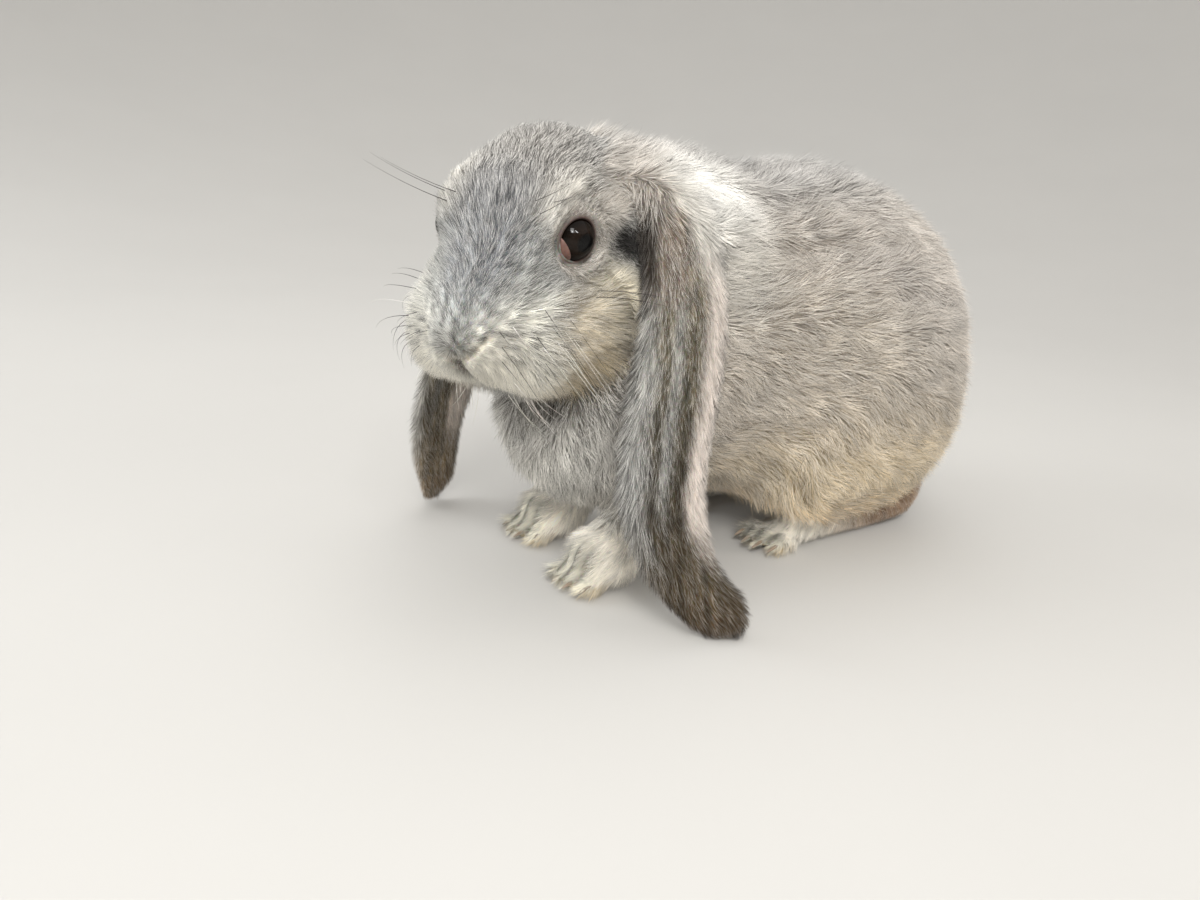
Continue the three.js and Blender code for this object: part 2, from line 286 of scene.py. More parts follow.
def lofted(loops, joined=False):
    """Points and polygons of a closed surface over loops of equal size; joined bends it round into a ring."""
    count, size = loops.shape[:2]
    at = np.arange(count * size).reshape(count, size)
    if joined:
        at = np.concatenate((at, at[:1]))
    after = np.roll(at, -1, axis=1)
    sides = np.stack((at[:-1], after[:-1], after[1:], at[1:]), -1).reshape(-1, 4)
    polygons = [sides] if joined else [sides, at[:1, ::-1], at[-1:]]
    points = loops.reshape(-1, 3)
    corner = points[sides] - points.mean(0)
    volume = (np.cross(corner[:, 0], corner[:, 1]) * corner[:, 2]).sum()
    volume += (np.cross(corner[:, 0], corner[:, 2]) * corner[:, 3]).sum()
    return points, [p[:, ::-1] for p in polygons] if volume < 0 else polygons


def gathered(shapes):
    """Many shapes' points and polygons as one list of points and one array for each number of corners."""
    points, by_corners, start = [], {}, 0
    for some, polygons in shapes:
        points.append(some)
        for p in polygons:
            by_corners.setdefault(p.shape[1], []).append(p + start)
        start += len(some)
    return np.concatenate(points), [np.concatenate(p) for p in by_corners.values()]


def hair_tube(root, way, sag, length, radius):
    """A long tapering hair that starts along way and bends towards sag; lengths in metres."""
    t = np.linspace(0, 1, HAIR_LEVELS)[:, None]
    path = root + way * length * (t - 0.04) + sag * length * t**2
    along = unit(np.gradient(path, axis=0))
    a = unit(np.cross(along, (0.31, 0.2, 0.93)))
    b = np.cross(along, a)
    turns = np.arange(HAIR_SIDES) * math.tau / HAIR_SIDES
    ring = np.cos(turns)[None, :, None] * a[:, None] + np.sin(turns)[None, :, None] * b[:, None]
    return lofted(path[:, None] + ring * (radius * (1 - 0.85 * t))[:, :, None])


# ---------------------------------------------------------------- the skin's shape

FLESH = sorted(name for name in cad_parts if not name.startswith(("eye", "claw")))
SEAM_OVERLAP = 0.45 * MM
VOXEL = 1.4 * MM
ROUND_TO = 6
SURFACE_ROUNDS = 5
NORMAL_ROUNDS = 3
INNER_ROUNDS = 2
FULLNESS_ROUNDS = 6
DEPTH_ROUNDS = 14
LIE_ROUNDS = 10
COLOUR_ROUNDS = 2

# The regions of the skin: the setting that each one's coat takes its depth from, and the share of it.
REGION_DEPTHS = {
    "head": ("head_depth", 1),
    "neck": ("body_depth", 1),
    "trunk": ("body_depth", 1),
    "thigh": ("body_depth", 0.9),
    "foreleg": ("body_depth", 0.6),
    "forepaw": ("foot_depth", 1),
    "hindfoot": ("foot_depth", 1),
    "ear": ("ear_depth", 1),
    "tail": ("body_depth", 0.7),
}
REGIONS = tuple(REGION_DEPTHS)

# The way the hair lies on the legs and tail, on the chest and over the heels.
LIES = {
    "thigh": (1, 0, -0.5),
    "foreleg": (-0.2, 0, -1),
    "forepaw": (-1, 0, -0.35),
    "hindfoot": (-1, 0, -0.35),
    "tail": (0.3, 0, 1),
}
CHEST_LIE = (0.3, 0, -1.0)
HEEL_LIE = (0.1, 0, -1.0)

# Places on the head, in its millimetres: the nose, where the hair of the face parts, and the cheek by the neck.
NOSE_PLACE = (-53, 0, -10)
PARTING_PLACE = (-66, 0, -4)
CHEEK_PLACE = (2, 24, -14)

# Lines on the face, for the left and right side, in the head's millimetres: where, width, depth.
CLEFT = ((-55, 0, -14), (-52, 0, -21), (-47, 0, -29), (-40, 0, -38), (-32, 0, -44))
NOSTRIL = ((-55, 1, -14.5), (-53, 5, -13.5), (-49.5, 9, -11), (-45, 13, -9))
GROOVES = ((CLEFT, 2.8, 7.0), (NOSTRIL, 1.6, 3.4))

# Places where the coat stands fuller than the flesh: on the right side of the head, size and how far, in millimetres.
PUFFS = (
    ("pad", (-40, 18, -24), (14, 14, 13), 3.0),
    ("lower edge of the pad", (-30, 16, -44), (20, 18, 12), 4.0),
    ("jowl", (-2, 30, -48), (26, 20, 14), 3.5),
    ("brow", (4, 24, 18), (16, 12, 8), 1.4),
    ("side of the muzzle", (-34, 27, -4), (13, 9, 13), 4.2),
    ("nose", (-54, 0, -7), (9, 9, 8), 2.4),
    ("back of the cheek", (1, 40, -30), (13, 14, 17), 4.5),
    ("behind the eye", (17, 36, 4), (8, 8, 7), 2.0),
)
# Places on the body where the coat lies closer than the flesh: place, size and how far, in millimetres.
TUCKS = (("over the hind foot", (44, 80, 26), (66, 26, 14), 7.0),)
SHORTEST_TUFT = 0.3


def on(region, *names):
    """Whether each point is on one of the named regions."""
    return np.isin(region, [REGIONS.index(name) for name in names])


def joined_solids(names, push):
    """The nodes' solids in one list of points and triangles, each pushed out so that neighbours overlap."""
    all_points, all_faces, owners, start = [], [], [], 0
    for name in names:
        points, faces = welded(name)
        lean = np.cross(points[faces[:, 1]] - points[faces[:, 0]], points[faces[:, 2]] - points[faces[:, 0]])
        normals = np.zeros_like(points)
        for corner in range(3):
            np.add.at(normals, faces[:, corner], lean)
        all_points.append(points + unit(normals) * push)
        all_faces.append(faces + start)
        owners.append(np.full(len(faces), REGIONS.index(name.split("_")[0])))
        start += len(points)
    return np.concatenate(all_points), np.concatenate(all_faces), np.concatenate(owners)


def melted(points, faces):
    """The points, quads and edges of one closed surface round overlapping solids."""
    mesh = bpy.data.meshes.new("melting")
    mesh.from_pydata(points.tolist(), [], faces.tolist())
    lump = in_scene("melting", mesh)
    remesh = lump.modifiers.new("melt", "REMESH")
    remesh.mode = "VOXEL"
    remesh.voxel_size = VOXEL
    remesh.adaptivity = 0
    whole = lump.evaluated_get(bpy.context.evaluated_depsgraph_get()).to_mesh()
    out = (
        read(whole.vertices, "co", 3, float),
        read(whole.loops, "vertex_index").reshape(-1, 4),
        read(whole.edges, "vertices", 2),
    )
    bpy.data.objects.remove(lump)
    bpy.data.meshes.remove(mesh)
    return largest_piece(*out)


def largest_piece(points, quads, edges):
    """The largest connected piece of a surface, without the small closed bubbles inside it."""
    piece = np.arange(len(points))
    while True:
        low = np.minimum(piece[edges[:, 0]], piece[edges[:, 1]])
        new = piece.copy()
        np.minimum.at(new, edges[:, 0], low)
        np.minimum.at(new, edges[:, 1], low)
        new = new[new]
        if (new == piece).all():
            break
        piece = new
    names, sizes = np.unique(piece, return_counts=True)
    kept = piece == names[sizes.argmax()]
    index = np.cumsum(kept) - 1
    return points[kept], index[quads[kept[quads[:, 0]]]], index[edges[kept[edges[:, 0]]]]


def evened(points, edges, rounds):
    """The surface with its small steps smoothed away, without shrinking it."""
    for share in (0.5, -0.52) * rounds:
        points = many_smooth(points, edges, len(points), 1, share=share)
    return points


def normals_of(points, quads):
    """The outward normal of each point of a surface of quads."""
    lean = np.cross(points[quads[:, 2]] - points[quads[:, 0]], points[quads[:, 3]] - points[quads[:, 1]])
    total = np.zeros_like(points)
    for corner in range(4):
        for k in range(3):
            total[:, k] += np.bincount(quads[:, corner], weights=lean[:, k], minlength=len(points))
    return unit(total)


def nearest_region(points, tree, owners):
    """The region of the solid nearest to each point."""
    return np.array([owners[tree.find_nearest(p)[2]] for p in points.tolist()])


def folded(places):
    """Places with the left side folded onto the right."""
    return np.where((False, True, False), np.abs(places), places)


def folded_head(points):
    """The head's millimetres of points, with the left side folded onto the right."""
    return folded(to_head(points))


def groove_depth(head):
    """How deep the lines of the nose and mouth are pressed into the face, in millimetres."""
    deep = np.zeros(len(head))
    for line, width, depth in GROOVES:
        deep = np.maximum(deep, depth * peak(near_line(head, line), width))
    return deep


def slit(head):
    """1 in the hollow behind the eye and the slit between the cheek and the ear, and 0 away from it; both are pressed
    in and painted with shadow.
    """
    return np.maximum(blob(head, *SLIT_PATCH, 0.5), peak(near_line(head, SLIT), SLIT_WIDTH))


def short_places(points, region):
    """How short the hair is for its part of the body: 1 is full length, less near the eyes, the nose and its folds."""
    head = folded_head(points)
    eye = ramp(distance(head, EYE_PLACE), EYE_RADIUS + 2, EYE_RADIUS + 14)
    nose = ramp(distance(head, NOSE_PLACE), 4, 40)
    fold = ramp(np.minimum(near_line(head, CLEFT), near_line(head, NOSTRIL) + 3), 1.2, 6)
    face = from_share(0.35, eye) * from_share(0.34, nose) * from_share(0.25, fold)
    neck = from_share(0.4, neck_fullness(head))
    feet = (1 - 0.75 * toe_gap(points, region)[0]) * (1 - 0.5 * heels(points, region))
    return np.where(on(region, "head"), face, np.where(on(region, "neck"), neck, feet))


def neck_fullness(head):
    """0 on the part of the neck that is as short-haired as the cheek, 1 on the ruff behind it."""
    return ramp(distance(head, CHEEK_PLACE), 22, 44)


def coat_depth(points, region, edges, look):
    """The thickness of the full-length coat over each point, in millimetres."""
    head = folded_head(points)
    deep = np.array([getattr(look, setting) * share for setting, share in REGION_DEPTHS.values()])[region]
    face = ramp(-head[:, 0], -12, 30) * on(region, "head")
    deep = deep * (1 - 0.45 * face)
    thin = on(region, "neck") * (1 - neck_fullness(head))
    deep = deep + (look.head_depth - deep) * thin
    return many_smooth(deep, edges, len(points), DEPTH_ROUNDS, fixed=on(region, "ear"))


def puffed(head):
    """How much fuller than the flesh the coat stands on the face, in millimetres."""
    full = np.zeros(len(head))
    for _, at, radii, rise in PUFFS:
        full = np.maximum(full, rise * blob(head, at, radii, 0.6))
    return full


def tucked(points):
    """How much closer than the flesh the coat lies on the body, in millimetres."""
    return sum(rise * blob(folded(points / MM), at, radii, 0.5) for _, at, radii, rise in TUCKS)


def eye_hollow(points):
    """The way that the surface sinks round each eye, so that the eye stands out of it."""
    sunk = np.zeros_like(points)
    for side in SIDES:
        height, wide, _ = round_an_eye(points, side)
        excess = np.clip(height - 4.2 - 0.35 * (wide - 8), 0, 9) * (1 - ramp(wide, 11, 20)) * (height < 20)
        sunk -= eye_axis(side)[0] * excess[:, None] * MM
    return sunk


def ear_slices(side, count=16):
    """The middle and the half width, from front to rear, of an ear at even heights."""
    points, _ = mesh_arrays(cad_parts["ear_" + side].data)
    levels = np.linspace(points[:, 2].min(), points[:, 2].max(), count + 1)
    heights, middles, halves = [], [], []
    for low, high in zip(levels, levels[1:]):
        ring = points[(points[:, 2] >= low - 4 * MM) & (points[:, 2] <= high + 4 * MM)]
        heights.append((low + high) / 2)
        middles.append((ring.min(0) + ring.max(0)) / 2)
        halves.append((ring[:, 0].max() - ring[:, 0].min()) / 2)
    return np.array(heights), np.array(middles), np.array(halves)


EAR_SLICES = {side: ear_slices(side) for side in SIDES}


def ear_place(points):
    """For points on the ears: the share of the way up, the place across from front -1 to rear 1, and the way down."""
    up, across, down = np.zeros(len(points)), np.zeros(len(points)), np.zeros((len(points), 3))
    for side, sign in SIDES.items():
        mine = points[:, 1] * sign > 0
        heights, middles, halves = EAR_SLICES[side]
        z = points[mine, 2]
        front = np.interp(z, heights, middles[:, 0])
        up[mine] = (z - heights[0]) / (heights[-1] - heights[0])
        across[mine] = (points[mine, 0] - front) / np.interp(z, heights, halves)
        slope = np.gradient(middles, axis=0)
        down[mine] = -unit(between(z, heights, slope))
    return up, across, down


def ear_fullness(points):
    """How much fuller than the flesh the coat stands on the ears: along the front edge and round the root."""
    up, across, _ = ear_place(points)
    edge = ramp(-across, 0.25, 0.95) * ramp(up, 0.05, 0.2) * (3.2 - 1.2 * ramp(up, 0.58, 0.74))
    return edge + 1.2 * ramp(across, 0.4, 0.95) + 3.5 * ramp(up, 0.86, 1.0)


def heels(points, region):
    """1 on the heels, 0 away from them."""
    return on(region, "hindfoot") * ramp(points[:, 0] / MM, 50, 90)


def foot_fullness(points, normals, region):
    """How much fuller than the flesh the coat stands on the feet and over the heels, in millimetres."""
    above = ramp(normals[:, 2], -0.5, 0.1)
    heel = ramp(points[:, 0] / MM, 40, 80)
    full = above * np.where(on(region, "forepaw"), 1.8, np.where(on(region, "hindfoot"), 2.4 - 1.4 * heel, 0))
    return full - 3.6 * toe_gap(points, region)[0]


def lie_of_coat(points, normals, region, edges):
    """The way the hair lies at each point of the surface."""
    mm = points / MM
    rump, low = ramp(mm[:, 0], 30, 130), ramp(-mm[:, 2], -80, -20)
    lie = np.zeros_like(points)
    lie[:, 0] = 1
    lie[:, 2] = -0.2 - 0.8 * rump - 0.45 * low
    chest = ramp(-mm[:, 0], 62, 92) * ramp(-mm[:, 2], -125, -95)
    lie = mixed(lie, np.array(CHEST_LIE), chest)
    for name, way in LIES.items():
        lie[on(region, name)] = way
    hem = (1 - ramp(mm[:, 2], 24, 44)) * ramp(mm[:, 0], 15, 45)
    lie[:, 2] = lie[:, 2] * (1 - 0.85 * hem)
    lie = mixed(lie, np.array(HEEL_LIE), heels(points, region))
    ears = on(region, "ear")
    lie[ears] = ear_place(points[ears])[2]
    heads = on(region, "head")
    lie[heads] = points[heads] - from_head(PARTING_PLACE)
    sides = ramp(folded_head(points)[:, 1], 10, 30) * heads
    lie[:, 2] -= 0.02 * sides
    lie = unit(lie)
    for side in SIDES:
        away = points - EYES[side]
        near = 1 - ramp(np.linalg.norm(away, axis=1) / MM, EYE_RADIUS + 4, EYE_RADIUS + 11)
        lie = mixed(lie, unit(away), 0.85 * near * heads)
    for _ in range(3):
        lie = many_smooth(lie, edges, len(points), LIE_ROUNDS)
        lie = unit(lie - (lie * normals).sum(1)[:, None] * normals)
    return lie


# ---------------------------------------------------------------- the markings

# Soft spots of colour on the head: place on the right side and size in the head's millimetres, colour, strength.
HEAD_COLOUR = (139, 142, 141)
HEAD_SPOTS = (
    ("crown", (22, 0, 26), (34, 42, 20), (126, 122, 116), 0.9),
    ("forehead", (-6, 0, 24), (16, 22, 12), (102, 104, 108), 0.8),
    ("brow", (6, 24, 14), (15, 11, 8), (206, 201, 190), 0.8),
    ("bridge", (-24, 6, 11), (20, 9, 10), (113, 116, 120), 0.9),
    ("bridge side", (-26, 22, -2), (16, 9, 8), (151, 152, 147), 0.8),
    ("muzzle", (-42, 17, -25), (19, 24, 19), (248, 243, 228), 1.0),
    ("side of the muzzle", (-34, 27, -15), (12, 9, 12), (240, 237, 224), 0.8),
    ("cheek", (-16, 36, -22), (18, 16, 13), (212, 199, 174), 1.0),
    ("low cheek", (-17, 33, -45), (26, 24, 15), (226, 206, 166), 0.9),
    ("under the eye", (-10, 31, -11), (11, 8, 4), (122, 116, 103), 0.8),
    ("ring round the eye", (4, 31, 0), (15, 12, 12), (138, 130, 120), 0.8),
    ("throat", (10, 0, -66), (34, 34, 14), (143, 137, 126), 0.9),
    ("nose tip", (-53, 0, -8), (6, 6, 6), (154, 153, 147), 0.9),
    ("back of the cheek", (1, 40, -28), (13, 14, 18), (207, 197, 172), 0.85),
    ("behind the eye", (18, 36, 5), (9, 9, 7), (164, 157, 147), 0.8),
)
GROOVE_COLOUR = (176, 160, 126)
# The cleft of the mouth: its own dark brown skin, with painted shade in and beside the groove.
CLEFT_SKIN_AND_SHADE = (54, 38, 29)

# The hollow behind the eye and the slit that runs down from it between the cheek and the ear, on the right side of the
# head: the hollow's place and size, the slit's line, the slit's width and depth, and the painted shadow laid in both.
SLIT_PATCH = ((17, 41, -10), (8, 9, 7.5))
SLIT = ((14, 45, -14), (8, 48, -24), (2, 49, -34), (-2, 48, -46))
SLIT_WIDTH = 2.8
SLIT_DEPTH = 3.0
# Near black painted shadow laid in the hollow and the slit.
SLIT_PAINTED_SHADOW = (18, 14, 11)

# Soft spots of colour on the body, the same on both sides: place, size, colour, strength, in millimetres.
BODY_COLOUR = (187, 177, 164)
BODY_SPOTS = (
    ("back", (20, 0, 184), (110, 60, 26), (166, 164, 161), 0.9),
    ("loin", (60, 50, 130), (60, 40, 30), (182, 175, 168), 0.6),
    ("flank", (10, 70, 100), (50, 40, 30), (190, 179, 162), 0.7),
    ("rump", (135, 0, 90), (34, 70, 60), (248, 236, 224), 0.8),
    ("low flank", (40, 80, 30), (120, 60, 38), (230, 208, 167), 0.75),
    ("belly", (20, 0, 0), (120, 80, 26), (240, 210, 168), 0.9),
    ("chest", (-86, 0, 66), (34, 46, 44), (183, 182, 176), 0.95),
    # Near black painted shadow under the chin, where the head overhangs the chest.
    ("shadow under the chin", (-98, 0, 88), (26, 34, 15), (37, 32, 23), 0.85),
    # The ruff's own pale hair, painted brighter still as a highlight where the light falls on it.
    ("ruff", (-46, 36, 160), (24, 26, 24), (249, 247, 241), 0.95),
    ("low ruff", (-38, 50, 136), (20, 18, 22), (201, 196, 186), 0.85),
)
LEG_COLOUR = (173, 170, 160)
PAW_COLOUR = (251, 244, 229)
TOE_TIP_COLOUR = (252, 247, 225)
STAIN_COLOUR = (227, 197, 134)
# Near black painted shade between the toes.
TOE_GAP_PAINTED_SHADE = (22, 19, 16)
HEEL_COLOUR = (153, 122, 92)
TAIL_COLOUR = (224, 217, 203)
EAR_HEIGHTS = (0, 0.12, 0.35, 0.62, 0.8, 0.9, 1)
EAR_COLOURS = (
    (82, 65, 43), (78, 66, 47), (61, 53, 39), (96, 88, 70), (115, 106, 87), (99, 85, 69), (112, 101, 82),
)
EAR_REAR_COLOUR = (226, 213, 202)
# Paler hair of the ear's front, partly a painted highlight along its rim.
EAR_FRONT_COLOUR = (178, 179, 176)
EAR_ROOT_COLOUR = (222, 218, 209)
EAR_BROW_COLOUR = (168, 160, 150)
EAR_PATCH_COLOUR = (128, 116, 104)
# Painted shadow on the ear's front edge at its root, beside the cheek.
EAR_SLIT_PAINTED_SHADOW = (43, 36, 30)
SPOT_SOFT = 0.62
# Painted light: the right ear's colour is made this many times paler, as though more light fell on it.
RIGHT_EAR_PAINTED_LIGHT = 2.9

# Small marks, each with its strength, length in millimetres and seed, and how they are stretched along the ears.
MOTTLE = ((0.11, 5, 59), (0.1, 11, 60), (0.07, 30, 61))
EAR_STREAKS = ((0.24, 3.4, 64), (0.13, 8, 65))
EAR_STRETCH = (1, 1, 0.16)
CHEST = ((-90, 0, 60), (24, 44, 46))

# How far back the toes reach on each foot, and how far apart feet and toes stand, in millimetres.
TOE_REACH = {"forepaw": 30, "hindfoot": 34}
FEET_APART = 20
TOES_APART = 7.3
TOE_GAP_WIDTH = 0.34


def layered(colour, layers):
    """Colours laid over others in turn, each by its share at every point."""
    for shade, share in layers:
        colour = mixed(colour, linear(*shade), share)
    return colour


def all_over(colour, points):
    """The same colour at every point."""
    return np.tile(linear(*colour), (len(points), 1))


def spotted(base, points, spots):
    """A base colour with soft spots of other colours laid over it."""
    layers = ((shade, strength * blob(points, at, radii, SPOT_SOFT)) for _, at, radii, shade, strength in spots)
    return layered(all_over(base, points), layers)


def ear_colour(points):
    """The colour of the ears' hair: streaked, dark at the root's front, partly by painted shadow on its edge, and at
    the tip, paler along both edges.
    """
    up, across, _ = ear_place(points)
    colour = between(up, EAR_HEIGHTS, [linear(*shade) for shade in EAR_COLOURS])
    # Painted light on the right ear.
    colour *= np.where(points[:, 1] > 0, RIGHT_EAR_PAINTED_LIGHT, 1.0)[:, None]
    middle = ramp(up, 0.12, 0.3) * (1 - ramp(up, 0.84, 0.95))
    ridge = ramp(up, 0.2, 0.4) * (1 - ramp(up, 0.72, 0.82)) * peak(across, 0.13, -0.35)
    colour = layered(colour, (
        (EAR_REAR_COLOUR, 0.95 * middle * ramp(across, 0.12, 0.5)),
        # The front edge: paler hair, with a painted highlight along the rim.
        (EAR_FRONT_COLOUR, 0.6 * middle * ramp(-across, 0.6, 0.95)),
        (EAR_FRONT_COLOUR, 0.55 * ridge),
        (EAR_ROOT_COLOUR, 0.95 * ramp(up, 0.74, 0.94) * ramp(across, -0.35, 0.45)),
        (EAR_PATCH_COLOUR, 0.9 * ramp(up, 0.72, 0.8) * (1 - ramp(across, -0.45, 0.1))),
        # Painted shadow along the front edge near the root.
        (EAR_SLIT_PAINTED_SHADOW, 0.9 * ramp(up, 0.66, 0.84) * ramp(-across, 0.84, 0.98)),
    ))
    root = layered(all_over(EAR_BROW_COLOUR, points), ((EAR_ROOT_COLOUR, ramp(across, -0.4, 0.4)),))
    return mixed(colour, root, 0.9 * ramp(up, 0.92, 1.0))


def fine_marks(points, region):
    """Small marks that multiply the coat's colour: mottling, streaks on the ears and the whiskers' dark roots."""
    mm, head = points / MM, folded_head(points)
    light = rippled(mm, MOTTLE)
    face = 0.09 + 0.22 * ramp(-head[:, 0], -30, 0) * ramp(head[:, 2], -22, -4)
    light = np.where(on(region, "head"), rippled(mm, ((0.1, 3.0, 62), (face, 5.0, 63))), light)
    _, across, _ = ear_place(points)
    streaks = rippled(mm * EAR_STRETCH, EAR_STREAKS) * (1 - 0.7 * ramp(across, 0.2, 0.5))
    light = np.where(on(region, "ear"), streaks, light)
    chest = blob(mm, *CHEST, 0.5) * ~on(region, "ear", "head")
    light = light + chest * (0.24 * waves(mm * (1, 1, 0.25), 4, 66) + 0.16 * waves(mm * (1, 1, 0.3), 12, 67))
    spots = np.zeros(len(points))
    near = np.flatnonzero(on(region, "head") & (head[:, 0] < -14) & (head[:, 1] > 6) & (head[:, 2] < 4))
    if len(near):
        away = np.linalg.norm((head[near, None] - whisker_roots()[None])[:, :, ::2], axis=2).min(1)
        spots[near] = peak(away, WHISKER_SPOT)
    return np.exp(light) * (1 - WHISKER_SPOT_DARK * spots)


def toe_gap(points, region):
    """1 in the gaps between the toes and 0 on them, and the share of the way forward along the foot."""
    gap, forward = np.zeros(len(points)), np.zeros(len(points))
    mm = points / MM
    for name, reach in TOE_REACH.items():
        for side in SIDES:
            low, high = (np.array(v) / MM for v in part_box(name + "_" + side))
            aside = mm[:, 1] - (low[1] + high[1]) / 2
            mine = on(region, name) & (np.abs(aside) < FEET_APART)
            forward[mine] = np.clip(1 - (mm[mine, 0] - low[0]) / reach, 0, 1)
            across = aside[mine] / TOES_APART
            between = peak(across - np.round(across), TOE_GAP_WIDTH) * (np.abs(across) < 1.5)
            gap[mine] = between * ramp(forward[mine], 0.38, 0.7)
    return gap, forward


def markings(points, region, folds):
    """The colour of the coat at each point of the surface, where the folds of the face have the given depths; painted
    shade lies in the cleft, under the chin and between the toes.
    """
    mm, head = points / MM, folded_head(points)
    colour = spotted(BODY_COLOUR, folded(mm), BODY_SPOTS)
    face = spotted(HEAD_COLOUR, head, HEAD_SPOTS)
    low = 1 - ramp(head[:, 2], -18.5, -15)
    mouth = low * (0.35 + 0.65 * ramp(head[:, 2], -40, -27))
    face = layered(face, (
        (GROOVE_COLOUR, 0.6 * ramp(folds, 1.0, 2.8) * (1 - low)),
        # Dark skin and painted shade in and beside the cleft.
        (CLEFT_SKIN_AND_SHADE, 0.97 * ramp(folds, 0.8, 2.4) * mouth),
    ))
    near = (1 - neck_fullness(head)) * on(region, "neck")
    colour = mixed(colour, face, np.where(on(region, "head"), 1, near))
    colour[on(region, "ear")] = ear_colour(points[on(region, "ear")])
    colour[on(region, "tail")] = linear(*TAIL_COLOUR)
    leg = on(region, "foreleg")
    colour[leg] = mixed(colour[leg], linear(*LEG_COLOUR), 0.7 * ramp(-mm[leg, 2], -70, -40))
    feet = on(region, "forepaw", "hindfoot")
    gap, forward = toe_gap(points, region)
    paw = layered(all_over(PAW_COLOUR, points), (
        (TOE_TIP_COLOUR, ramp(forward, 0.4, 0.9)),
        (HEEL_COLOUR, on(region, "hindfoot") * ramp(mm[:, 0], 35, 90)),
        (STAIN_COLOUR, 0.85 * (1 - ramp(mm[:, 2], 1.5, 8)) * ramp(forward, 0.1, 0.6)),
        # Painted shade in the gaps between the toes.
        (TOE_GAP_PAINTED_SHADE, 0.95 * gap),
    ))
    colour[feet] = paw[feet]
    return colour


# ---------------------------------------------------------------- whiskers

# On the right side of the head and in its millimetres: the muzzle's rows, each starting behind and below the last,
# the spot at each root, and the roots on the brow and cheek.
WHISKER_ROWS = 5
WHISKERS_IN_ROW = 6
WHISKER_FIRST = (-46.5, -8.0)
WHISKER_STEP = 4.3
WHISKER_ROW_STEP = 4.6
WHISKER_SPOT = 1.5
WHISKER_SPOT_DARK = 0.92
BROW_WHISKERS = ((-6, 21, 18), (-1, 24, 19), (-3, 18, 21))
CHEEK_WHISKERS = ((-9, 35, -20), (-4, 36, -24))
CHIN_WHISKERS = 9

# How far the muzzle's whiskers droop on each side, the share of roots left bare, and the share of pale whiskers.
DROOP = {-1: 2.9, 1: 0.5}
BARE_ROOTS = 0.34
PALE_SHARE = 0.45
DARK_WHISKER = (34, 29, 26)
PALE_WHISKER = (232, 228, 220)
DARK_RADIUS = 0.14
PALE_RADIUS = 0.1
LASH_RADIUS = 0.07


@functools.cache
def whisker_roots():
    """Where the whiskers of the right side stand on the face, in the head's millimetres."""
    points, faces = mesh_arrays(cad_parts["head"].data)
    tree = BVHTree.FromPolygons(points.tolist(), faces.tolist())
    roots = []
    for row in range(WHISKER_ROWS):
        for k in range(WHISKERS_IN_ROW - row // 2):
            behind = WHISKER_FIRST[0] + WHISKER_STEP * (k + 0.4 * (row % 2)) + 0.5 * row
            above = WHISKER_FIRST[1] - WHISKER_ROW_STEP * row - 0.5 * k
            start = from_head(np.array((behind, 60, above)))
            hit = tree.ray_cast(start.tolist(), (-HEAD_RIGHT).tolist())[0]
            if hit is not None:
                roots.append(to_head(np.array(hit)))
    return np.array(roots)


def whiskers_of(side, longest, rng):
    """Each whisker's root, way, bend, length and whether it is pale, in the head's own directions."""
    for behind, right, above in whisker_roots():
        share = ramp(behind, -48, -26)
        if rng.random() < BARE_ROOTS:
            continue
        fall = DROOP[side] - 0.02 * (above + 14) + rng.normal(0, 0.12)
        way = (0.05 + 0.3 * share + rng.normal(0, 0.1), side, -fall)
        sag = (0.1 + rng.uniform(0, 0.1), -0.08 * side, -0.2 - rng.uniform(0, 0.2))
        length = longest * (0.3 + 0.7 * share) * rng.uniform(0.6, 1.0)
        yield (behind, right * side, above), way, sag, length, rng.random() < PALE_SHARE
    for behind, right, above in BROW_WHISKERS:
        way = (-0.35 + rng.normal(0, 0.1), 0.75 * side, 0.5 + rng.normal(0, 0.05))
        yield (behind, right * side, above), way, (0.1, 0, 0.05), 0.55 * longest * rng.uniform(0.8, 1), False
    for behind, right, above in CHEEK_WHISKERS:
        way = (0.35, side, -0.1)
        yield (behind, right * side, above), way, (0.1, 0, -0.3), 0.5 * longest * rng.uniform(0.7, 1), False
    for _ in range(CHIN_WHISKERS):
        at = (rng.uniform(-44, -22), side * rng.uniform(4, 20), -46)
        way = (rng.normal(-0.1, 0.2), 0.35 * side + rng.normal(0, 0.15), -1)
        yield at, way, (0.15, 0.1 * side, 0), rng.uniform(12, 26), True


# ---------------------------------------------------------------- the eyes and lids

# The eyeball, the lids' opening and the third lid, in millimetres and radians.
EYE_RADIUS = 8.4
EYE_PLACE = (3.5, 24.4, 0)
EYE_LOOK = (-0.42, 0.9, 0.1)
CORNEA_RISE = 0.5
LID_OPEN = math.radians(64)
LID_OVAL = math.radians(1)
LID_CORNER = math.radians(10)
LID_CORNER_AT = math.radians(-25)
LID_CORNER_WIDTH = math.radians(28)
LID_REACH = 12.8
LID_TURNS = 72
HAW_EDGE = 0.7
HAW_TURNS = np.radians(np.linspace(-74, 54, 28))
HAW_RISE = 0.34
HAW_COLOUR = (108, 80, 72)
TEAR_COLOUR = (160, 126, 118)

# The lids' first rings: how far past their margin, how high over the eyeball, and the share of the hood over it.
LID_RINGS = ((0.16, -0.6, 0), (0.01, 0.12, 0), (-0.01, 0.4, 1), (0.03, 0.7, 1), (0.12, 1.1, 1))
LID_HOOD = 0.5
LID_BEND = (0.28, 0.62, 1.0)

